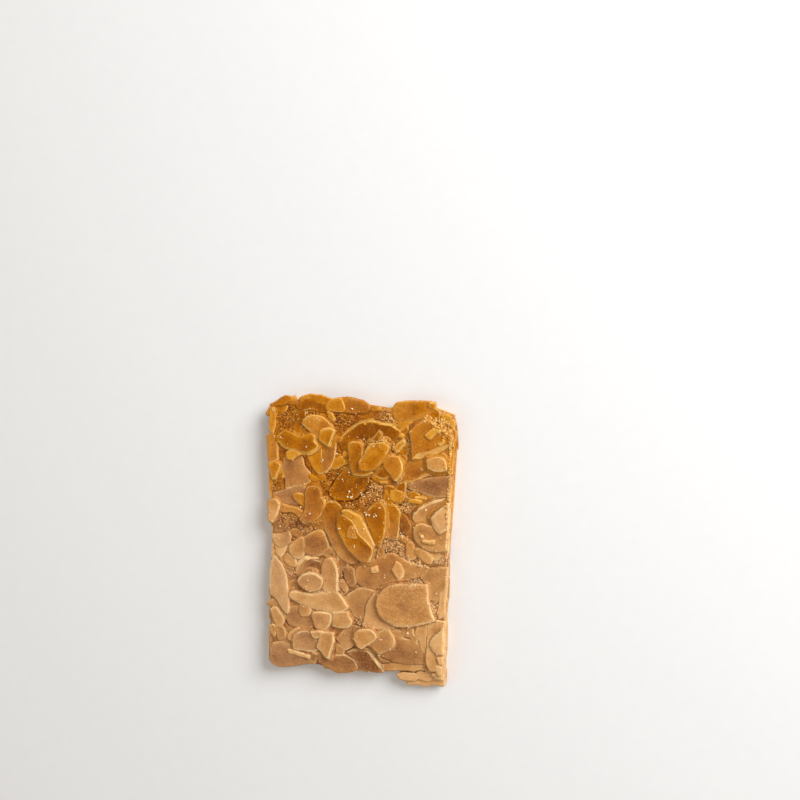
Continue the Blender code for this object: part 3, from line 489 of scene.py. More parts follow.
def roasted_slice():
    """Blanched sliced almond, roasted in the sheet under a drying film of caramel: a soft,
    slightly translucent tan with fine long fibres, glossy and darker where the film lies,
    pale where the nut's own edge shows and where a highlight is painted on edges facing the
    window, and darker where painted shade comes in with the roast value."""
    made, tree, surface = new_material(
        "roasted_almond_slice", IOR=1.47, Subsurface_Weight=0.3, Subsurface_Scale=0.22 * MM,
        Coat_Weight=0.05, **BAKED,
    )
    place = add(tree, "TexCoord", {}, "Object")
    roast_and_shade, pale_rim_and_highlight, along, across, tan, warmth, sandy = (
        add(tree, "Attribute", {}, "Fac", attribute_name=name)
        for name in ("roast_and_shade", "pale_rim_and_highlight", "along", "across", "tan", "warmth", "sandy")
    )
    amberness = add(tree, "Math", {0: 1.0, 1: tan}, operation="SUBTRACT")
    far = add(tree, "Math", {0: far_tint(tree, place), 1: amberness}, operation="MULTIPLY")

    # fibres run along the slice, about 0.6 mm apart; layers show where the sheet is cut
    drawn_out = add(tree, "Math", {0: along, 1: 0.14}, operation="MULTIPLY")
    lengthways = add(tree, "CombineXYZ", {"X": drawn_out, "Y": across})
    fibre = add(tree, "TexNoise", {"Vector": lengthways, "Scale": 1.7, "Detail": 3.0})
    stacked = add(tree, "Mapping", {"Vector": place, "Scale": (1.0, 1.0, 9.0)})
    layers = add(tree, "TexNoise", {"Vector": stacked, "Scale": 330.0, "Detail": 3.0})

    # the film lies in patches of about 5 mm; clouding is about 2 mm wide, and specks 0.5 mm
    film = add(tree, "TexNoise", {"Vector": place, "Scale": 190.0, "Detail": 2.0})
    film = add(tree, "MapRange", {0: film, 1: 0.44, 2: 0.58})
    cloud = add(tree, "TexNoise", {"Vector": place, "Scale": 450.0, "Detail": 3.0})
    speck = add(tree, "TexNoise", {"Vector": place, "Scale": 1900.0, "Detail": 2.0})

    # how dark the slice is from spot to spot, painted shade included, and its colour in the near and the
    # far half
    grain = add(tree, "Math", {0: speck, 1: 0.5}, operation="SUBTRACT")
    coarse = add(tree, "Math", {0: sandy, 1: 0.7, 2: 1.2}, operation="MULTIPLY_ADD")
    shade = add(tree, "MapRange", {0: cloud, 1: 0.3, 2: 0.7, 3: -0.07, 4: 0.07})
    for pattern, amount in ((film, 0.09), (fibre, 0.14), (layers, 0.3), (grain, coarse)):
        feeds = {0: pattern, 1: amount, 2: shade}
        shade = add(tree, "Math", feeds, operation="MULTIPLY_ADD")
    shade = add(tree, "Math", {0: shade, 1: 0.27}, operation="SUBTRACT")
    shade = add(tree, "Math", {0: shade, 1: roast_and_shade}, use_clamp=True)
    near = roast_scale(tree, shade, ("#E2B076", "#C99256", "#A87347", "#784622"))
    amber = roast_scale(tree, shade, ("#DC9A30", "#C27604", "#9A5400", "#723600"))
    flesh, edge = (
        add(tree, "Mix", {0: far, 6: here, 7: there}, 2, data_type="RGBA")
        for here, there in ((near, amber), ("#F6D29A", "#F0C06A"))
    )

    # bare nut at the rim together with a painted highlight on edges facing the window, pale flecks and
    # scorched specks
    bare_and_highlight = add(tree, "MapRange", {0: roast_and_shade, 1: 0.2, 2: 1.0, 3: 0.95, 4: 0.75})
    bare_and_highlight = add(tree, "Math", {0: bare_and_highlight, 1: pale_rim_and_highlight}, operation="MULTIPLY")
    patchy = add(tree, "MapRange", {0: cloud, 1: 0.35, 2: 0.6, 3: 0.55, 4: 1.0})
    bare_and_highlight = add(tree, "Math", {0: bare_and_highlight, 1: patchy}, operation="MULTIPLY")
    fleck = add(tree, "MapRange", {0: speck, 1: 0.58, 2: 0.74, 3: 0.0, 4: 0.35})
    scorch = add(tree, "MapRange", {0: speck, 1: 0.26, 2: 0.42, 3: 0.45, 4: 0.0})
    for amount, colour in ((bare_and_highlight, edge), (fleck, edge), (scorch, "#8A4E1C")):
        flesh = add(tree, "Mix", {0: amount, 6: flesh, 7: colour}, 2, data_type="RGBA")
    strength = add(tree, "Math", {0: warmth, 1: 0.15, 2: 1.0}, operation="MULTIPLY_ADD")
    flesh = add(tree, "HueSaturation", {"Saturation": strength, "Color": flesh})
    gloss = add(tree, "MapRange", {0: film, 3: 0.64, 4: 0.5})
    bumps = add(tree, "Bump", {"Height": cloud, "Distance": 0.09 * MM, "Strength": 1.0})
    for pattern, height in ((fibre, 0.02), (layers, 0.05), (speck, 0.03)):
        bumps = add(tree, "Bump", {"Height": pattern, "Distance": height * MM, "Normal": bumps})
    feed(tree, surface, {"Base Color": flesh, "Roughness": gloss, "Normal": bumps})
    return made


def baked_caramel():
    """Boiled sugar and butter with almond crumbs, set hard: smooth toffee brown where it
    ran together, and where it foamed a crust of pale grains and burst bubbles about 0.5 mm wide,
    the bubbles and hollows drawn dark as painted shade."""
    made, tree, surface = new_material(
        "porous_baked_caramel", IOR=1.5, Subsurface_Weight=0.12, Subsurface_Scale=0.2 * MM,
        Coat_Weight=0.06, **BAKED,
    )
    place = add(tree, "TexCoord", {}, "Object")
    hollow, porous, crumbly, thin = (
        add(tree, "Attribute", {}, "Fac", attribute_name=name)
        for name in ("hollow", "porous", "crumbly", "thin")
    )
    far = far_tint(tree, place)
    cloud = add(tree, "TexNoise", {"Vector": place, "Scale": 380.0, "Detail": 4.0})
    bubbles = add(tree, "TexVoronoi", {"Vector": place, "Scale": 1900.0}, "Distance")
    crumbs = add(tree, "TexNoise", {"Vector": place, "Scale": 2700.0, "Detail": 1.0})
    foamy = add(tree, "TexNoise", {"Vector": place, "Scale": 700.0, "Detail": 1.0})

    # each colour in the near half and, more amber, in the far half
    stain_and_shade = add(tree, "MapRange", {0: cloud, 1: 0.35, 2: 0.65})
    near, amber = (
        add(tree, "Mix", {0: stain_and_shade, 6: deep, 7: light}, 2, data_type="RGBA")
        for deep, light in (("#8F592E", "#BE8A56"), ("#823C02", "#B86E10"))
    )
    toffee, syrupy, meal, dark, film = (
        add(tree, "Mix", {0: far, 6: here, 7: there}, 2, data_type="RGBA")
        for here, there in (
            (near, amber), ("#D8AC7E", "#D29038"), ("#F2CA96", "#F4C688"), ("#6A4226", "#421E00"),
            ("#BE8852", "#BC7C20"),
        )
    )
    pale = add(tree, "Mix", {0: crumbly, 6: syrupy, 7: meal}, 2, data_type="RGBA")

    # grains about 0.4 mm wide, and painted shade in the burst bubbles where it foamed and in the hollows
    crust = add(tree, "MapRange", {0: porous, 3: 0.15, 4: 1.0})
    grain = add(tree, "Math", {0: crumbly, 1: 0.06, 2: crumbs}, operation="MULTIPLY_ADD")
    grain = add(tree, "MapRange", {0: grain, 1: 0.52, 2: 0.62, 3: 0.0, 4: 0.9})
    grain = add(tree, "Math", {0: grain, 1: crust}, operation="MULTIPLY")
    pore_shade = add(tree, "MapRange", {0: bubbles, 1: 0.22, 2: 0.46, 3: 1.0, 4: 0.0})
    burst = add(tree, "MapRange", {0: foamy, 1: 0.4, 2: 0.54, 3: 0.3, 4: 1.0})
    for amount, how in ((porous, "MULTIPLY"), (burst, "MULTIPLY"), (hollow, "MAXIMUM")):
        pore_shade = add(tree, "Math", {0: pore_shade, 1: amount}, operation=how)
    for amount, colour in ((thin, film), (grain, pale), (pore_shade, dark)):
        toffee = add(tree, "Mix", {0: amount, 6: toffee, 7: colour}, 2, data_type="RGBA")
    gloss = add(tree, "MapRange", {0: cloud, 1: 0.3, 2: 0.7, 3: 0.35, 4: 0.6})
    sponge = add(tree, "Math", {0: bubbles, 1: crust}, operation="MULTIPLY")
    bumps = add(tree, "Bump", {"Height": sponge, "Distance": 0.26 * MM, "Strength": 1.0})
    bumps = add(tree, "Bump", {"Height": crumbs, "Distance": 0.06 * MM, "Normal": bumps})
    feed(tree, surface, {"Base Color": toffee, "Roughness": gloss, "Normal": bumps})
    return made


def almond_meal():
    """Crumbs that broke off the slices: dry, pale and matte, a little amber in the far half."""
    made, tree, surface = new_material("almond_meal", Roughness=0.55, IOR=1.47, Specular_IOR_Level=0.35)
    place = add(tree, "TexCoord", {}, "Object")
    cloud = add(tree, "TexNoise", {"Vector": place, "Scale": 1500.0})
    cloud = add(tree, "MapRange", {0: cloud, 1: 0.35, 2: 0.65})
    near, amber = (
        add(tree, "Mix", {0: cloud, 6: light, 7: deep}, 2, data_type="RGBA")
        for light, deep in (("#F4D6A6", "#CF9658"), ("#F2C673", "#C98A26"))
    )
    colour = add(tree, "Mix", {0: far_tint(tree, place), 6: near, 7: amber}, 2, data_type="RGBA")
    feed(tree, surface, {"Base Color": colour})
    return made


def coarse_sugar():
    """Sugar crystals that fell on last: clear grains that scatter nearly white."""
    made, tree, surface = new_material(
        "coarse_sugar", Roughness=0.2, IOR=1.54, Subsurface_Weight=0.3, Subsurface_Scale=0.3 * MM,
    )
    place = add(tree, "TexCoord", {}, "Object")
    cloud = add(tree, "TexNoise", {"Vector": place, "Scale": 3000.0})
    colour = add(tree, "Mix", {0: cloud, 6: "#FFEFD0", 7: "#F2CF9A"}, 2, data_type="RGBA")
    feed(tree, surface, {"Base Color": colour})
    return made


def white_paper():
    """Matte paper under the piece, with the faintest fibre."""
    made, tree, surface = new_material("white_paper", Roughness=0.9, Specular_IOR_Level=0.1)
    place = add(tree, "TexCoord", {}, "Object")
    fibre = add(tree, "TexNoise", {"Vector": place, "Scale": 300.0})
    colour = add(tree, "Mix", {0: fibre, 6: "#EFF2F6", 7: "#F3F6F9"}, 2, data_type="RGBA")
    feed(tree, surface, {"Base Color": colour})
    return made


# ---------------------------------------------------------------- sliced almonds


def read_outline(drawn):
    """Corners of a drawn outline: x and y in mm, and whether it is sharp there."""
    return [(*map(float, word.rstrip("!").split(",")), word.endswith("!")) for word in drawn.split()]


def cut_plate(name, outline, thick, mesh_size):
    """A flat plate with a drawn outline, its middle at z = 0 and its edges worn round."""
    deselect()
    bpy.ops.curve.primitive_bezier_circle_add(radius=MM)
    piece = bpy.context.object
    piece.name = name
    piece.data.dimensions = "2D"
    piece.data.fill_mode = "BOTH"
    piece.data.extrude = thick / 2 * MM
    piece.data.resolution_u = 6
    turns = piece.data.splines[0].bezier_points
    turns.add(len(outline) - len(turns))
    for turn, (x, y, _) in zip(turns, outline):
        turn.co = (x * MM, y * MM, 0)
    for turn, (_, _, sharp) in zip(turns, outline):
        turn.handle_left_type = turn.handle_right_type = "VECTOR" if sharp else "AUTO"
    bpy.ops.object.convert(target="MESH")
    piece = bpy.context.object
    piece.data.name = name
    edit_all()
    bpy.ops.mesh.remove_doubles(threshold=0.002 * MM)
    face_outwards()
    apply_modifier(piece, "REMESH", mode="VOXEL", voxel_size=mesh_size * MM, adaptivity=0.0)
    apply_modifier(piece, "SMOOTH", factor=0.5, iterations=1)
    smooth(piece)
    return piece


def distance_to_edge(mesh):
    """How far each point is from the outline, in mm, and which way the edge there faces."""
    points, sideways = read_points(mesh)[:, :2] / MM, np.abs(read_normals(mesh)[:, 2]) < 0.35
    edge, facing, away, nearest = points[sideways], read_normals(mesh)[sideways, :2], [], []
    for part in np.array_split(points, max(1, len(points) // 500)):
        squares = (part[:, :1] - edge[:, 0]) ** 2 + (part[:, 1:] - edge[:, 1]) ** 2
        away.append(np.sqrt(squares.min(1)))
        nearest.append(squares.argmin(1))
    facing = facing[np.concatenate(nearest)]
    return np.concatenate(away), np.degrees(np.arctan2(facing[:, 1], facing[:, 0]))


def shape_slice(piece, top, seed, roast_and_shade, bend, slant=None):
    """Lays a plate at its height, bends it as a baked slice is bent, and slants its cut edge."""
    rng = random.Random(seed)
    points = read_points(piece.data) / MM
    x, y = points[:, 0].copy(), points[:, 1].copy()
    centre, upper = points[:, :2].mean(0), read_normals(piece.data)[:, 2] > 0.4
    inner, facing = distance_to_edge(piece.data)
    sizes, axes = np.linalg.eigh(np.cov((points[:, :2] - centre).T))
    along = (points[:, :2] - centre) @ axes[:, 1]
    across = (points[:, :2] - centre) @ axes[:, 0]
    keep_value(piece.data, "along", along)
    keep_value(piece.data, "across", across + 7.0 * seed)
    along, across = along / (2 * math.sqrt(sizes[1])), across / (2 * math.sqrt(sizes[0]))

    # it tilts, cups and twists a little, less when it is small, and its faces are uneven
    bend = bend * min(1.0, math.sqrt(sizes[1]) / 3)
    lift = bend * (rng.uniform(-1, 1) * along + rng.uniform(-0.7, 0.7) * across)
    lift += bend * (rng.uniform(-0.8, 1.2) * (along**2 - 0.5) + rng.uniform(-0.8, 0.8) * (across**2 - 0.5))
    lift += bend * rng.uniform(-0.6, 0.6) * along * across
    points[:, 2] += top(x, y) - points[:, 2].max() + lift
    points[:, 2] += 0.02 * ripple(x, y, 1.1, seed) + 0.035 * ripple(x, y, 2.6, seed + 1)

    # the edge falls away where it faces the slant's direction, and the middle is hollow
    direction, width = slant or (rng.uniform(-110, 60), rng.uniform(0.1, 0.3))
    towards = np.cos(np.radians(facing - direction))
    reach = width * ramp(towards, -0.15, 0.75) * (1 + 0.35 * ripple(x, y, 1.6, seed + 9))
    slope = np.clip(1 - inner / np.maximum(reach, 0.02), 0, 1)
    points[:, 2] -= np.where(upper, 0.5 * slope * ramp(reach, 0.0, 0.5), 0)
    points[:, 2] -= np.where(upper, 0.05 * ramp(inner, 0.6, 2.4), 0)

    # its foot spreads, most on the side away from the window, and its outline is chipped
    depth = np.clip((points[:, 2].max() - points[:, 2]) / np.ptp(points[:, 2]), 0, 1)
    lit = ramp(np.cos(np.radians(facing - WINDOW_SIDE)), -1.0, 0.6)
    skirt = 0.28 + 0.34 * (1 - lit) + 0.15 * ripple(x, y, 1.8, seed + 12)
    spread = skirt * depth * (1 - ramp(inner, 0.0, 0.5))
    for axis, outward in enumerate((np.cos, np.sin)):
        points[:, axis] += spread * outward(np.radians(facing))
        chips = seed + 2 + 2 * axis
        points[:, axis] += 0.07 * ripple(x, y, 1.0, chips) + 0.06 * ripple(x, y, 0.4, chips + 1)
    points[:, 2] = np.clip(points[:, 2], 0.03, HIGHEST)
    write_points(piece.data, points * MM)
    facet = ramp(reach - inner, -0.1, 0.06) * ramp(width, 0.1, 0.3)
    tint_slice(piece, x, y, points[:, 2], inner, upper, lit, facet, seed, roast_and_shade)


def tint_slice(piece, x, y, height, inner, upper, lit, facet, seed, roast_and_shade):
    """Keeps where a slice is pale: bare nut, and a highlight painted on edges facing the window;
    and how dark it is from spot to spot: its roast, its tone, and painted shade on its walls.
    """
    raised = float(ramp(np.percentile(height, 90), *RAISED))
    # painted highlight: a pale line along the top edge, strongest on the side facing the window
    rim_wear_and_highlight = 0.25 * raised + (0.5 + 0.3 * raised) * ramp(ripple(x, y, 2.2, seed + 6), -0.4, 0.5)
    wide = 0.24 + 0.3 * ramp(ripple(x, y, 3.5, seed + 8), -0.5, 0.6)
    line = rim_wear_and_highlight * (1 - ramp(inner / wide, 0.4, 1.2)) * (0.25 + 0.75 * lit) * np.where(upper, 1, 0.3)
    deep = ramp(height.max() - height, 0.15, 0.45) * ~upper
    # painted highlight on the walls that face the window, fading towards their foot
    lit_wall_highlight = np.where(upper, 0, 0.6 * (1 - deep) * lit)
    keep_value(piece.data, "pale_rim_and_highlight", np.maximum.reduce([line, facet, lit_wall_highlight]))
    tone_and_shade = 0.12 * ripple(x, y, 2.6, seed + 7) + 0.14 * ripple(x, y, 7.0, seed + 10)
    tone_and_shade += (0.07 + 0.12 * roast_and_shade) * (ramp(inner, 0.2, 1.8) - 0.6)
    # painted shade: walls facing away from the window, and the foot of every wall, darker; more on raised
    # slices
    tone_and_shade += (0.35 + 0.65 * raised) * (0.15 * deep + 0.22 * (1 - lit) * ~upper)
    keep_value(piece.data, "roast_and_shade", roast_and_shade + tone_and_shade)


def top_of_node(node):
    """The plane of a flat solid's upper side, lowered on to what it lies on."""
    points, up = read_points(node.data) / MM, read_normals(node.data)[:, 2] > 0.9
    x, y, z = points[up].T
    slope_x, slope_y, height = np.linalg.lstsq(np.c_[x, y, np.ones(len(x))], z, rcond=None)[0]
    low = SHEET_TOP + 0.08
    return lambda x, y: low + LOWERED * (height + slope_x * x + slope_y * y - low)


def lay_large_slices(finish):
    """The slices that are nodes, each on its solid's place."""
    roasts = {number: roast_and_shade for roast_and_shade, numbers in ROASTED_SLICES.items() for number in numbers}
    pieces = []
    for number, drawn in SLICE_OUTLINES.items():
        node = f"almond_slice_{number:02d}"
        thick = random.Random(number).uniform(*SLICE_THICK)
        piece = cut_plate(f"flaked_almond_{number:02d}", read_outline(drawn), thick, SLICE_MESH)
        top = top_of_node(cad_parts[node])
        shape_slice(piece, top, 100 + 10 * number, roasts[number], 0.2, SLICE_SLANTS.get(number))
        for name, values in (("tan", SLICE_TAN), ("warmth", SLICE_WARMTH), ("sandy", SANDY_SLICES)):
            keep_value(piece.data, name, values.get(number, 0.0))
        piece.data.materials.append(finish)
        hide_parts(node)
        pieces.append(piece)
    return pieces


def paint_shade_at_feet(face, pieces):
    """Painted shade: darkens the low slices around the foot of higher ones."""
    full = np.maximum(face.top, SHEET_TOP - 0.1)
    foot = np.clip((soften_grid(full, 20) - full - 0.12) / 0.5, 0, 1)
    for piece in pieces:
        points = read_points(piece.data) / MM
        stain_and_shade = face.read(foot, points[:, 0], points[:, 1])
        upper = points[:, 2] > face.read(full, points[:, 0], points[:, 1]) - 0.3
        roast_and_shade = np.empty(len(points))
        piece.data.attributes["roast_and_shade"].data.foreach_get("value", roast_and_shade)
        keep_value(piece.data, "roast_and_shade", roast_and_shade + 0.35 * stain_and_shade * upper)


class Face:
    """The heights of what lies on the face, on a fine square grid."""

    def __init__(self):
        self.ticks_x = np.arange(FIELD_LOW[0], FIELD_HIGH[0], FIELD_STEP)
        self.ticks_y = np.arange(FIELD_LOW[1], FIELD_HIGH[1], FIELD_STEP)
        self.x, self.y = np.meshgrid(self.ticks_x, self.ticks_y)
        self.top = np.full(self.x.shape, BARE)

    def cell(self, x, y):
        """The row and the column that a place is in."""
        return int((y - FIELD_LOW[1]) / FIELD_STEP), int((x - FIELD_LOW[0]) / FIELD_STEP)

    def lay(self, piece):
        """Adds a piece by the highest of its points in each cell, and closes pinholes."""
        points = read_points(piece.data) / MM
        column = np.round((points[:, 0] - FIELD_LOW[0]) / FIELD_STEP).astype(int)
        row = np.round((points[:, 1] - FIELD_LOW[1]) / FIELD_STEP).astype(int)
        own = np.full(self.top.shape, BARE)
        np.maximum.at(own, (row, column), points[:, 2])
        for choose in (np.maximum, np.minimum):
            own = choose.reduce([own] + [shifted(own, *step, BARE) for step in AROUND])
        self.top = np.maximum(self.top, own)

    def read(self, grid, x, y):
        """A grid's value at any points, between its own."""
        column = np.clip((x - FIELD_LOW[0]) / FIELD_STEP, 0, len(self.ticks_x) - 1.001)
        row = np.clip((y - FIELD_LOW[1]) / FIELD_STEP, 0, len(self.ticks_y) - 1.001)
        left, low = column.astype(int), row.astype(int)
        across, up = column - left, row - low
        near, far = (
            grid[line, left] * (1 - across) + grid[line, left + 1] * across for line in (low, low + 1)
        )
        return near * (1 - up) + far * up


def shifted(grid, rows, columns, fill):
    """The grid moved by whole cells, with a fill value where nothing arrives."""
    moved = np.full(grid.shape, fill)
    height, width = grid.shape
    moved[max(rows, 0) : height + min(rows, 0), max(columns, 0) : width + min(columns, 0)] = grid[
        max(-rows, 0) : height + min(-rows, 0), max(-columns, 0) : width + min(-columns, 0)
    ]
    return moved


def soften_grid(grid, times):
    """Blends each cell with the four around it, as many times as asked."""
    for _ in range(times):
        around = sum(shifted(grid, *step, 0.0) for step in AROUND)
        grid = 0.5 * grid + 0.125 * around
    return grid


def lay_shard(face, outline, rise, roast_and_shade, seed):
    """A small flake on whatever is under it, standing up by its rise."""
    spot = within(face.x, face.y, [corner[:2] for corner in outline])
    under = np.maximum(face.top[spot], SHEET_TOP - 0.05)
    level = np.percentile(under, 65) + rise
    rng = random.Random(seed)
    slope_x, slope_y = rng.uniform(-0.05, 0.05), rng.uniform(-0.05, 0.05)
    x0, y0 = (np.mean([corner[axis] for corner in outline]) for axis in (0, 1))
    thick = SHARD_THICK
    if roast_and_shade <= CRISP_ROAST:
        outline = [(x, y, True) for x, y, _ in outline]
        thick = 0.7 * SHARD_THICK
    piece = cut_plate("shard", outline, thick, SHARD_MESH)
    shape_slice(piece, lambda x, y: level + slope_x * (x - x0) + slope_y * (y - y0), seed, roast_and_shade, 0.08)
    face.lay(piece)
    return piece


def random_outline(rng, x, y, length, width):
    """A broken bit of slice: an oval with a few sharp breaks."""
    turn, corners = rng.uniform(0, math.pi), []
    for step in range(SHARD_CORNERS):
        angle = (step + rng.uniform(-0.3, 0.3)) * 2 * math.pi / SHARD_CORNERS
        reach = rng.uniform(0.78, 1.06)
        forward, aside = length / 2 * math.cos(angle) * reach, width / 2 * math.sin(angle) * reach
        corners.append((
            x + forward * math.cos(turn) - aside * math.sin(turn),
            y + forward * math.sin(turn) + aside * math.cos(turn),
            rng.random() < 0.4,
        ))
    return corners


def sink_shards(face):
    """Broken bits of slice that lie sunk in the caramel between the large slices."""
    rng, pieces = random.Random(11), []
    while len(pieces) < SUNK_SHARDS:
        x, y = rng.uniform(-23.5, 23.5), rng.uniform(-34, 35)
        length, width = rng.uniform(3.0, 7.0), rng.uniform(1.6, 3.6)
        bubbly = max(1 - math.hypot(x - px, y - py) / reach for px, py, reach in POROUS_PATCHES)
        if face.top[face.cell(x, y)] > 0 or bubbly > 0.35 or (y < -31 and x > 7):
            continue
        outline = random_outline(rng, x, y, length, width)
        level, roast_and_shade = SHEET_TOP + rng.uniform(-0.1, 0.06), rng.uniform(0.35, 0.8)
        slope_x, slope_y = rng.uniform(-0.06, 0.06), rng.uniform(-0.06, 0.06)
        piece = cut_plate("shard", outline, SHARD_THICK, SUNK_MESH)
        top = lambda px, py: level + slope_x * (px - x) + slope_y * (py - y)
        shape_slice(piece, top, 2000 + 10 * len(pieces), roast_and_shade, 0.06)
        pieces.append(piece)
    return pieces


def lay_corner_layers():
    """The layers that stick out of the broken corner, from the highest down."""
    pieces = []
    for number, (height, roast_and_shade, drawn) in enumerate(CORNER_LAYERS):
        piece = cut_plate("layer", read_outline(drawn), LAYER_THICK, LAYER_MESH)
        shape_slice(piece, lambda x, y: height + 0 * x, 4000 + 10 * number, roast_and_shade, 0.1, (-90, 0.1))
        pieces.append(piece)
    return pieces


def lay_shards(face, finish):
    """Small flakes: first those sunk in the caramel anywhere, then the ones in plain view."""
    sunk = join(sink_shards(face), "sunk_shards")
    face.lay(sunk)
    shown = [
        lay_shard(face, read_outline(drawn), rise, roast_and_shade, 3000 + 10 * number)
        for number, (rise, roast_and_shade, drawn) in enumerate(SHARDS)
    ]
    layers = lay_corner_layers()
    pieces = [sunk, join(shown, "loose_shards"), join(layers, "broken_corner_layers")]
    for piece, slot in zip(pieces, ("slice_golden", "slice_pale", "slice_pale")):
        piece.data.materials.append(finish)
    return pieces


# ---------------------------------------------------------------- caramel sheet


def burst_bubbles(face, height, porous):
    """Presses round hollows into the caramel, most of them where it foamed."""
    rng = np.random.default_rng(5)
    for _ in range(BUBBLE_TRIES):
        px, py, keep = rng.uniform(-25, 25), rng.uniform(-37, 38), rng.uniform()
        radius = rng.choice(BUBBLE_RADII, p=BUBBLE_SHARES)
        row, column = face.cell(px, py)
        if keep > 0.02 + 0.3 * porous[row, column] ** 2:
            continue
        area = (slice(row - 3, row + 4), slice(column - 3, column + 4))
        distance = np.hypot(face.x[area] - px, face.y[area] - py) / radius
        height[area] -= 0.7 * radius * np.clip(1 - distance**2, 0, 1)


def cling(face, low, high):
    """Caramel that clings to the slices around it, and the bead that ran on to lower ones."""
    glue, creep = np.maximum(low, high), 0.9 + 0.5 * ripple(face.x, face.y, 2.0, 11)
    bead = np.full(face.x.shape, NOTHING)
    cells = int(GLUE_REACH / FIELD_STEP)
    for rows in range(-cells, cells + 1):
        for columns in range(-cells, cells + 1):
            away = math.hypot(rows, columns) * FIELD_STEP
            if 0 < away <= GLUE_REACH:
                from_low, from_high = (shifted(grid, rows, columns, NOTHING) for grid in (low, high))
                glue = np.maximum(glue, from_low - 0.5 * away * creep)
                glue = np.maximum(glue, from_high - 1.15 * away**0.6 * (0.4 + 0.7 * creep))
                bead = np.maximum(bead, from_high + 0.08 - 0.85 * away * creep)
    return glue, bead


def caramel_heights(face):
    """How high the caramel stands, how much painted shade its hollows get, and where it is bubbly or only a
    thin film.
    """
    x, y = face.x, face.y
    porous = np.zeros(x.shape)
    for px, py, reach in POROUS_PATCHES:
        distance = np.hypot(x - px, y - py) + 0.9 * ripple(x, y, 2.4, 41)
        porous = np.maximum(porous, 1 - ramp(distance, 0.6 * reach, 1.1 * reach))
    base = SHEET_TOP - 0.05 + 0.1 * ripple(x, y, 4.5, 7) + 0.07 * ripple(x, y, 1.8, 8)
    base += porous * (0.05 + 0.09 * ripple(x, y, 0.9, 9) + 0.04 * ripple(x, y, 0.5, 10))
    burst_bubbles(face, base, porous)

    # it creeps over the edges of the lowest slices, and climbs the walls of the others
    covered, beneath = face.top > 0, face.top - UNDER_SLICES
    stuck = covered & (face.top < LOW_TOP)
    inland = soften_grid(covered.astype(float), 5)
    sunk = stuck | (covered & (ripple(x, y, 6.0, 14) > 0.2))
    crust = np.clip(1.1 - 1.5 * inland, 0, 0.5)
    crust = crust + 0.13 * ripple(x, y, 2.3, 12) + 0.06 * ripple(x, y, 0.9, 13)
    drowned = np.where(sunk, face.top + np.clip(crust - 0.22, -0.13, 0.1), NOTHING)
    low = np.where(stuck, face.top, NOTHING)
    high = np.where(face.top >= LOW_TOP, face.top - 0.3, NOTHING)
    glue, bead = cling(face, low, high)
    base, glue = (np.where(covered, np.minimum(grid, beneath), grid) for grid in (base, glue))
    bead = np.where(bead < face.top + 0.6, bead, face.top + 0.1)
    height = broken_corner(x, y, np.maximum.reduce([base, glue, drowned, bead]))
    # painted shade: darker where the caramel lies lower than around it, nearly only on the bubbly patches
    hollow = np.clip((soften_grid(height, 8) - height - 0.04) / 0.25, 0, 0.9)
    thin = soften_grid(((bead > height - 0.001) & covered).astype(float), 2)
    return height, hollow * (0.05 + 0.95 * porous), porous, thin


def broken_corner(x, y, height):
    """The near right corner came away in layers, and left a dark hollow beside them."""
    ragged_x = x + 0.6 * ripple(x, y, 2.1, 21) + 0.25 * ripple(x, y, 0.7, 22)
    rough = 0.15 * ripple(x, y, 1.1, 25) + 0.1 * ripple(x, y, 0.5, 26)
    stairs = np.clip(3.4 + 0.4 * (y + 33.0), 0.35, 3.9) + rough
    height = np.where((ragged_x > 8.0) & (y < -32.4), np.minimum(height, stairs), height)
    chip = np.hypot((ragged_x - 9.8) / 2.2, (y + 35.8) / 1.7) < 1
    return np.where(chip, np.minimum(height, 0.5 + rough), height)


def sheet_sides():
    """The four sides of the solid sheet, near, right, far and left, from corner to corner."""
    points = read_points(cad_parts["biscuit"].data) / MM
    ring = np.unique(np.round(points[np.abs(points[:, 2] - 0.35) < 0.05][:, :2], 2), axis=0)
    ring = ring[np.argsort(np.arctan2(ring[:, 1], ring[:, 0]))]
    corners = [int(np.argmin(np.hypot(ring[:, 0] - x, ring[:, 1] - y))) for x, y in SHEET_CORNERS]
    sides = []
    for start, end in zip(corners, corners[1:] + corners[:1]):
        steps = np.arange(start, end + 1) if end > start else np.r_[start : len(ring), 0 : end + 1]
        sides.append(ring[steps])
    return sides


def along_side(side, parts):
    """Places on a side, by the part of its length from its start."""
    lengths = np.r_[0, np.cumsum(np.hypot(*np.diff(side, axis=0).T))]
    return np.stack([np.interp(parts * lengths[-1], lengths, side[:, axis]) for axis in (0, 1)], -1)


def sheet_plan(u, v, sides):
    """Where a point of a unit square lies in the sheet's outline."""
    near, right = along_side(sides[0], u), along_side(sides[1], v)
    far, left = along_side(sides[2], 1 - u), along_side(sides[3], 1 - v)
    u, v = u[:, None], v[:, None]
    corner = [side[0] for side in sides]
    blend = near * (1 - v) + far * v + left * (1 - u) + right * u
    blend -= (1 - u) * (1 - v) * corner[0] + u * (1 - v) * corner[1]
    blend -= u * v * corner[2] + (1 - u) * v * corner[3]
    return blend


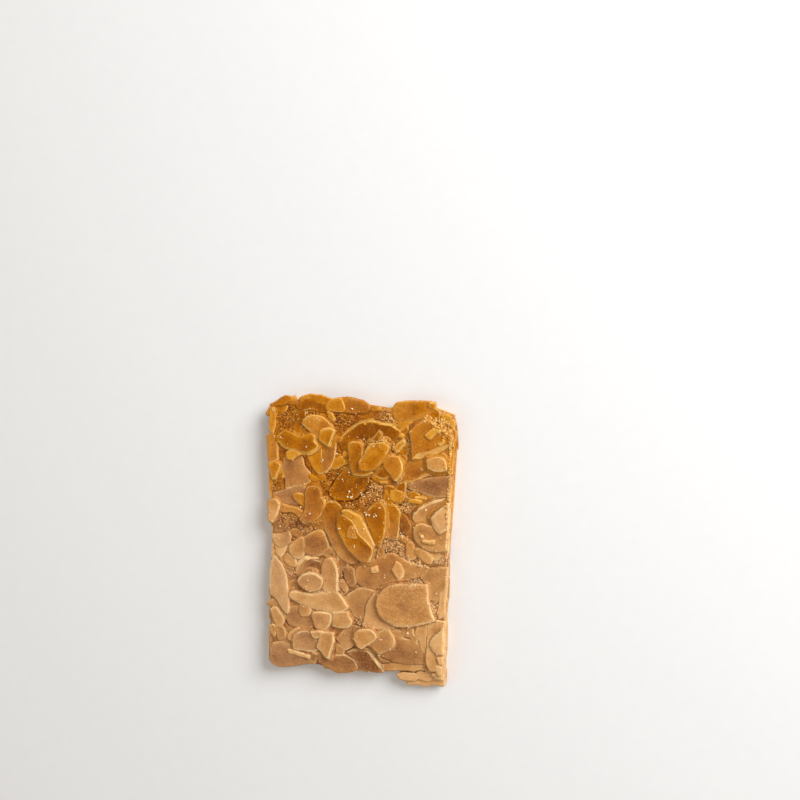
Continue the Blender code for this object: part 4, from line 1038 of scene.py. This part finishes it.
def caramel_sheet(face, heights, hollow, porous, thin, sides, finish):
    """The baked sheet: one closed body with a pitted face and torn, layered sides."""
    deselect()
    bpy.ops.mesh.primitive_grid_add(x_subdivisions=SHEET_GRID[0], y_subdivisions=SHEET_GRID[1], size=2)
    piece = bpy.context.object
    piece.name = piece.data.name = "caramel_sheet"
    edit_all()
    for _ in range(WALL_ROWS):
        bpy.ops.mesh.extrude_region_move(TRANSFORM_OT_translate={"value": (0, 0, -1)})
    face_outwards()

    raw = read_points(piece.data)
    u, v, depth = (raw[:, 0] + 1) / 2, (raw[:, 1] + 1) / 2, -raw[:, 2] / WALL_ROWS
    from_left, from_right = u * SHEET_WIDE, (1 - u) * SHEET_WIDE
    from_near, from_far = v * SHEET_LONG, (1 - v) * SHEET_LONG
    edge = np.minimum.reduce([from_left, from_right, from_near, from_far])
    plan = sheet_plan(u, v, sides)
    top = face.read(heights, plan[:, 0], plan[:, 1])
    fall = 1 - ramp(edge, 0.0, 0.8)
    top = top - 0.35 * fall * (0.6 + 0.4 * ripple(plan[:, 0], plan[:, 1], 1.2, 31))
    under = 0.06 + 0.03 * ripple(plan[:, 0], plan[:, 1], 1.5, 32)
    z = top * (1 - depth) + under * depth

    # the sides are torn in layers, drawn in at the foot and notched beside the broken corner
    beside = np.minimum(from_left, from_right) < np.minimum(from_near, from_far)
    around = np.where(beside, plan[:, 1], plan[:, 0])
    strata = ripple(around, z * 7.5, 3.4, 33) + 0.6 * ripple(around, z * 4, 1.2, 34)
    inward = np.clip(0.3 + 0.22 * strata + 0.12 * ripple(around, z, 0.5, 35), 0, 1)
    inward = inward * (1 - ramp(edge, 0.0, TORN_DEPTH))
    inward += 0.35 * np.exp(-((z / 0.4) ** 2)) * (1 - ramp(edge, 0.0, 0.6))
    pull = np.stack([
        1.0 * (from_left < TORN_DEPTH) - (from_right < TORN_DEPTH),
        1.0 * (from_near < TORN_DEPTH) - (from_far < TORN_DEPTH),
    ], -1)
    plan = plan + pull * inward[:, None]
    notch = 1.5 * np.exp(-(((plan[:, 0] - 10.0) / 1.6) ** 2))
    plan[:, 1] += notch * (1 - ramp(from_near, 0.0, 4.0))
    plan[:, 0] -= 0.8 * (1 - ramp(from_left, 0.0, TORN_DEPTH)) * np.clip(1 - z / 4.2, 0, 1)
    write_points(piece.data, np.c_[plan, z] * MM)

    inner_wall = (edge < 0.3) & (depth > 0) & (depth < 1)
    on_face = depth == 0
    pits, pores, film = (face.read(grid, *plan.T) * on_face for grid in (hollow, porous, thin))
    # painted shade on the torn sides where their layers are drawn in, and in the hollows of the face
    keep_value(piece.data, "hollow", np.maximum(0.5 * np.clip(inward, 0, 1) * inner_wall, pits))
    keep_value(piece.data, "porous", np.where(on_face, pores, 0.75))
    keep_value(piece.data, "thin", film)
    keep_value(piece.data, "crumbly", ramp(plan[:, 0] + 2 * ripple(*plan.T, 5.0, 36), -8.0, 14.0))
    apply_modifier(piece, "DECIMATE", ratio=SHEET_KEPT)
    smooth(piece)
    piece.data.materials.append(finish)
    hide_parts("biscuit")
    return piece


# ---------------------------------------------------------------- slices in the cut sides


def plain_slice():
    """A small whole slice, the pattern for those that are mostly buried."""
    deselect()
    bpy.ops.mesh.primitive_circle_add(vertices=20, radius=0.5 * MM, fill_type="NGON")
    piece = bpy.context.object
    edit_all()
    bpy.ops.mesh.inset(thickness=0.12 * MM)
    bpy.ops.mesh.select_all(action="SELECT")
    bpy.ops.mesh.extrude_region_move(TRANSFORM_OT_translate={"value": (0, 0, MM)})
    bpy.ops.mesh.select_all(action="SELECT")
    bpy.ops.transform.translate(value=(0, 0, -0.5 * MM))
    face_outwards()

    # one end is pointed, and the rim is thinner than the middle
    points = read_points(piece.data)
    reach = np.hypot(points[:, 0], points[:, 1]) / (0.5 * MM)
    at_rim = reach > 0.9
    points[:, 1] *= 1 - 0.5 * points[:, 0] / MM * 0.5
    points[:, 2] *= 1 - 0.45 * at_rim
    write_points(piece.data, points)
    keep_value(piece.data, "pale_rim_and_highlight", at_rim.astype(float))
    return piece


def copied_slice(pattern, rng, place, size, turn, tilt, roast_and_shade):
    """A buried slice of any size, frayed, bowed and turned its own way."""
    piece = copy_of(pattern)
    points = read_points(piece.data) / MM
    frayed = np.random.default_rng(rng.randrange(10**6)).uniform(-1, 1, points.shape)
    points = points * size + frayed * (0.16, 0.16, 0.03)
    bow = rng.uniform(-0.35, 0.35)
    points[:, 2] += bow * ((2 * points[:, 0] / size[0]) ** 2 - 0.5)
    spin = Matrix.Rotation(tilt[0], 3, "X") @ Matrix.Rotation(tilt[1], 3, "Y")
    spin = np.array(spin @ Matrix.Rotation(turn, 3, "Z"))
    write_points(piece.data, (points @ spin.T + place) * MM)
    keep_value(piece.data, "roast_and_shade", roast_and_shade)
    return piece


def keep_above(piece, floor):
    """Flattens what would reach below a height."""
    points = read_points(piece.data)
    points[:, 2] = np.maximum(points[:, 2], floor * MM)
    write_points(piece.data, points)


def outward_of(side):
    """The direction straight out of a side, taken from corner to corner."""
    along = (side[-1] - side[0]) / np.hypot(*(side[-1] - side[0]))
    return np.array([along[1], -along[0]])


def cut_flush(piece, spot, outward):
    """Cuts a slice off at the knife's plane and closes the cut."""
    take(piece)
    edit_all()
    bpy.ops.mesh.bisect(
        plane_co=Vector((*spot, 0)) * MM, plane_no=(*outward, 0), use_fill=True, clear_outer=True
    )
    bpy.ops.object.mode_set(mode="OBJECT")


def break_line(height):
    """How far near the broken corner reaches at a height: its lower layers stick out more."""
    return -33.2 - (3.9 - height) / 0.8


def slices_in_sides(sides, finish):
    """Buried slices where the sheet was cut or broken off, five deep, and those that the
    flat underside shows."""
    rng, pattern, pieces = random.Random(3), plain_slice(), []
    for number, side in enumerate(sides):
        near_side, left_side = number == 0, number == 3
        knife_cut = number in (1, 3)
        length = np.hypot(*np.diff(side, axis=0).T).sum()
        for layer in range(SIDE_LAYERS):
            travel = rng.uniform(1, 4)
            while travel < length - 1.5:
                part = np.array([travel / length, min(1, travel / length + 0.02)])
                spot, ahead = along_side(side, part)
                forward = (ahead - spot) / np.hypot(*(ahead - spot))
                outward = np.array([forward[1], -forward[0]])
                broken_off = near_side and spot[0] > 4
                height = 0.45 + LAYER_RISE * layer + rng.uniform(-0.2, 0.2)
                size = (rng.uniform(5, 13), rng.uniform(5, 9), rng.uniform(0.4, 0.85))
                inset = rng.uniform(-0.05, 0.3) if knife_cut else rng.uniform(0.0, 0.8)
                if left_side:
                    inset = rng.uniform(-1.1, 0.1) * (1 - 0.12 * layer)
                middle = spot - outward * (rng.uniform(0.2, 0.42) * size[1])
                roast_and_shade = rng.choice((0.0, 0.1, 0.25, 0.5))
                tilt = (rng.uniform(-0.1, 0.1), rng.uniform(-0.1, 0.1))
                turn = math.atan2(forward[1], forward[0]) + rng.uniform(-0.5, 0.5)
                travel += size[0] * rng.uniform(0.5, 0.95)
                if height > (0.5 if broken_off else 4.15) or (broken_off and middle[0] < 19):
                    continue
                piece = copied_slice(pattern, rng, (*middle, height), size, turn, tilt, roast_and_shade)
                cut_flush(piece, spot - outward * inset, outward)
                if number < 2 and middle[0] > 6:
                    cut_flush(piece, (0, break_line(height)), (0, -1))
                if travel < 16:
                    before = outward_of(sides[number - 1])
                    cut_flush(piece, side[0] - before * 0.3, before)
                if travel > length - 16:
                    after = outward_of(sides[(number + 1) % 4])
                    cut_flush(piece, side[-1] - after * 0.3, after)
                keep_above(piece, rng.uniform(0.03, 0.08))
                if len(piece.data.vertices) > 8:
                    pieces.append(piece)
                else:
                    bpy.data.objects.remove(piece)
    for _ in range(DEEP_SLICES):
        place = (rng.uniform(-20, 20), rng.uniform(-31, 31), 0.34)
        size = (rng.uniform(6, 14), rng.uniform(4, 8), rng.uniform(0.5, 0.6))
        turn, roast_and_shade = rng.uniform(0, 2 * math.pi), rng.uniform(0.2, 0.8)
        piece = copied_slice(pattern, rng, place, size, turn, (0, 0), roast_and_shade)
        keep_above(piece, 0.02)
        pieces.append(piece)
    bpy.data.objects.remove(pattern)
    piece = join(pieces, "slices_in_the_sides")
    edit_all()
    face_outwards()
    bpy.ops.object.shade_smooth_by_angle(angle=math.radians(30))
    piece.data.materials.append(finish)
    return piece


# ---------------------------------------------------------------- grains and crumbs

# The large grains of sugar that catch the light.
SUGAR_SPOTS = (
    (-2.5, 13.5), (-2.0, 12.0), (-1.6, 12.3), (-2.9, 12.1), (-4.5, 16.7), (-2.6, 18.7), (-9.9, 21.3),
    (-14.3, 24.7), (-21.6, 26.7), (1.1, 27.7), (4.3, 26.4), (2.0, 8.3), (2.5, 7.9), (3.3, 7.9),
    (4.7, 7.6), (5.2, 7.9), (6.0, 10.0), (-0.4, -0.8), (-1.0, 4.0), (2.1, 4.1), (-2.2, 35.6),
    (-6.1, 23.4), (18.3, 10.4), (17.7, 3.6), (12.2, 2.9), (17.0, -28.2), (6.9, -30.3), (7.4, -25.6),
    (14.6, -23.2), (21.8, -11.6), (-13.1, -11.4), (7.8, -8.8), (-15.9, 8.1), (-13.0, 6.8),
    (-4.8, 3.6), (16.7, 21.3), (0.7, 13.4), (0.9, 12.9), (-24.0, 34.0), (-14.5, 33.8), (10.0, -28.0),
)

# Lines strewn with grains: both ends, and how many. Coarse ones say how far they scatter.
CRUMB_SCATTER = 0.35
SPARKLE_SCATTER = 0.2
CRUMB_LINES = (
    ((11.5, -2.4), (19.5, -4.5), 30), ((-17.5, -14.8), (-5.0, -13.9), 26),
    ((5.0, -3.6), (10.0, -1.8), 8), ((2.5, -22.6), (6.0, -22.8), 14),
    ((-15.5, 34.6), (-12.0, 35.0), 14), ((-16.0, 31.8), (-12.0, 33.4), 12),
    ((17.5, 34.6), (24.4, 33.4), 45), ((19.0, 33.4), (24.5, 31.6), 45),
    ((21.0, 32.4), (24.6, 30.0), 30), ((20.0, 34.6), (24.6, 31.0), 34),
    ((19.5, 35.0), (24.4, 34.4), 16), ((24.5, -36.0), (24.8, 34.0), 30),
    ((-23.6, -34.0), (-23.8, 34.0), 20), ((12.5, -21.3), (17.0, -20.7), 10),
    ((13.5, -9.4), (19.0, -9.3), 12), ((-10.0, 11.4), (-6.0, 11.0), 16),
    ((-14.0, 4.6), (-10.5, 4.6), 10),
)
COARSE_LINES = (
    ((17.5, 34.6), (24.0, 33.4), 60, 0.5), ((20.5, 33.2), (24.0, 31.0), 45, 0.6),
    ((24.2, 30.0), (24.3, 6.0), 40, 0.15), ((12.0, -3.0), (19.0, -4.6), 10, 0.3),
)
SPARKLE_LINES = (
    ((-18.0, -15.2), (-5.4, -14.0), 22), ((11.5, -2.6), (19.6, -4.9), 16),
    ((-9.0, 10.8), (-5.0, 9.5), 5), ((8.0, -10.8), (19.0, -9.6), 8),
    ((-14.0, 33.2), (-8.0, 31.5), 6), ((24.5, -34.0), (24.6, 34.0), 16),
)


def grains(kind, face, spots, sizes, seed, finish):
    """Loose grains pressed into the face, all copied from one chipped crystal."""
    deselect()
    bpy.ops.mesh.primitive_cube_add(size=MM)
    pattern = bpy.context.object
    edit_all()
    bpy.ops.mesh.bevel(offset=0.16 * MM, segments=1)
    bpy.ops.object.mode_set(mode="OBJECT")
    rng, chips, pieces = random.Random(seed), np.random.default_rng(seed), []
    for x, y in spots:
        piece = copy_of(pattern)
        size = np.array([rng.uniform(*sizes) for _ in range(3)])
        points = read_points(piece.data) / MM
        points = points * size * (1 + 0.4 * chips.uniform(-1, 1, points.shape))
        turn = Matrix.Rotation(rng.uniform(0, 6.3), 3, (rng.random(), rng.random(), rng.random() + 0.1))
        level = float(face.read(face.full, np.array([x]), np.array([y]))[0]) + 0.12 * size.min()
        points = points @ np.array(turn).T + (x, y, level)
        points[:, 2] = np.minimum(points[:, 2], HIGHEST)
        write_points(piece.data, points * MM)
        pieces.append(piece)
    bpy.data.objects.remove(pattern)
    piece = join(pieces, kind)
    piece.data.materials.append(finish)
    return piece


def strewn(rng, start, end, count, scatter):
    """Spots strewn along a straight line."""
    spots = []
    for _ in range(count):
        part = rng.random()
        spots.append(tuple(a + part * (b - a) + rng.gauss(0, scatter) for a, b in zip(start, end)))
    return spots


def crumb_spots(rng):
    """Crumbs lie thickest on the bubbly patches, along raised rims and at the cut edges."""
    spots = []
    for px, py, reach in POROUS_PATCHES:
        for _ in range(int(2.2 * reach * (2.2 if px > 5 else 1))):
            angle, away = rng.uniform(0, 6.3), reach * math.sqrt(rng.random())
            spots.append((px + away * math.cos(angle), py + away * math.sin(angle)))
    for line in CRUMB_LINES:
        spots += strewn(rng, *line, CRUMB_SCATTER)
    for drawn in SLICE_OUTLINES.values():
        corners = [corner[:2] for corner in read_outline(drawn)]
        for start, end in zip(corners, corners[1:] + corners[:1]):
            if rng.random() < 0.3:
                spots += strewn(rng, start, end, 1, 0.25)
    spots += [(rng.uniform(-23, 23), rng.uniform(-34, 35)) for _ in range(50)]
    spots += [(rng.gauss(24.25, 0.16), rng.uniform(-31, 34)) for _ in range(60)]
    return [(x, y) for x, y in spots if -23.9 < x < 24.5 and -35.5 < y < 35.0 and (y > -31 or x < 4)]


def coarse_spots(rng):
    """The far right corner and the right cut crumbled into coarser bits."""
    spots = [spot for line in COARSE_LINES for spot in strewn(rng, *line)]
    return [(x, y) for x, y in spots if x < 24.5 and y < 35.2]


def sparkle_spots(rng):
    """Fine sugar catches the light along raised edges and on the bubbly patches."""
    spots = [(rng.gauss(x, 0.35), rng.gauss(y, 0.35)) for x, y in SUGAR_SPOTS for _ in range(2)]
    for line in SPARKLE_LINES:
        spots += strewn(rng, *line, SPARKLE_SCATTER)
    for px, py, reach in POROUS_PATCHES:
        spots += [(rng.gauss(px, 0.4 * reach), rng.gauss(py, 0.4 * reach)) for _ in range(int(0.8 * reach))]
    spots = [(x, y) for x, y in spots if abs(x) < 24.3 and -31 < y < 35.0]
    return [(x, y) for x, y in spots if y > -18 or rng.random() < 0.5]


# ---------------------------------------------------------------- camera and light


def set_camera():
    right, up = Vector(CAMERA_RIGHT).normalized(), Vector(CAMERA_UP)
    back = right.cross(up).normalized()
    up = back.cross(right)
    camera = bpy.data.objects.new("camera", bpy.data.cameras.new("camera"))
    bpy.context.scene.collection.objects.link(camera)
    turn = Matrix((right, up, back)).transposed().to_4x4()
    camera.matrix_world = Matrix.Translation(Vector(CAMERA_PLACE) * MM) @ turn
    camera.data.lens = CAMERA_LENS
    camera.data.sensor_width = CAMERA_SENSOR
    camera.data.clip_start = 0.01
    bpy.context.scene.camera = camera


def soft_light(name, place, size, power):
    """A round light that faces the slab."""
    lamp = bpy.data.lights.new(name, "AREA")
    lamp.shape = "DISK"
    lamp.size = size
    lamp.energy = power
    made = bpy.data.objects.new(name, lamp)
    bpy.context.scene.collection.objects.link(made)
    made.location = place
    made.rotation_euler = (-Vector(place)).to_track_quat("-Z", "Y").to_euler()


def set_studio():
    """A white paper floor, soft light from all around, and the two lamps."""
    deselect()
    bpy.ops.mesh.primitive_plane_add(size=4, location=(0, 0, 0))
    floor = bpy.context.object
    floor.name = floor.data.name = "floor"
    floor.data.materials.append(white_paper())

    world = bpy.data.worlds.new("studio")
    world.use_nodes = True
    backdrop = world.node_tree.nodes["Background"]
    backdrop.inputs["Color"].default_value = linear("#FFF3E4")
    backdrop.inputs["Strength"].default_value = ROOM_LIGHT
    bpy.context.scene.world = world
    for light in LIGHTS:
        soft_light(*light)
    bpy.context.scene.view_settings.view_transform = "Standard"


# ---------------------------------------------------------------- putting it together

set_camera()
set_studio()
almond, caramel = roasted_slice(), baked_caramel()
face = Face()
pieces = lay_large_slices(almond)
for piece in pieces:
    face.lay(piece)
pieces += lay_shards(face, almond)
face.lay(pieces[-1])
paint_shade_at_feet(face, pieces)
heights, hollow, porous, thin = caramel_heights(face)
sides = sheet_sides()
pieces.append(caramel_sheet(face, heights, hollow, porous, thin, sides, caramel))
pieces.append(slices_in_sides(sides, almond))
face.full = np.maximum(face.top, heights)
crumbs = crumb_spots(random.Random(8))
coarse = coarse_spots(random.Random(10))
sparkles = sparkle_spots(random.Random(4))
sugar, meal = coarse_sugar(), almond_meal()
pieces.append(grains("almond_crumbs", face, crumbs, (0.12, 0.38), 9, meal))
pieces.append(grains("coarse_crumbs", face, coarse, (0.25, 0.7), 10, meal))
pieces.append(grains("sugar_grains", face, SUGAR_SPOTS, (0.2, 0.5), 6, sugar))
pieces.append(grains("fine_sugar", face, sparkles, (0.1, 0.24), 7, sugar))
for piece in pieces:
    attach(piece, "root")
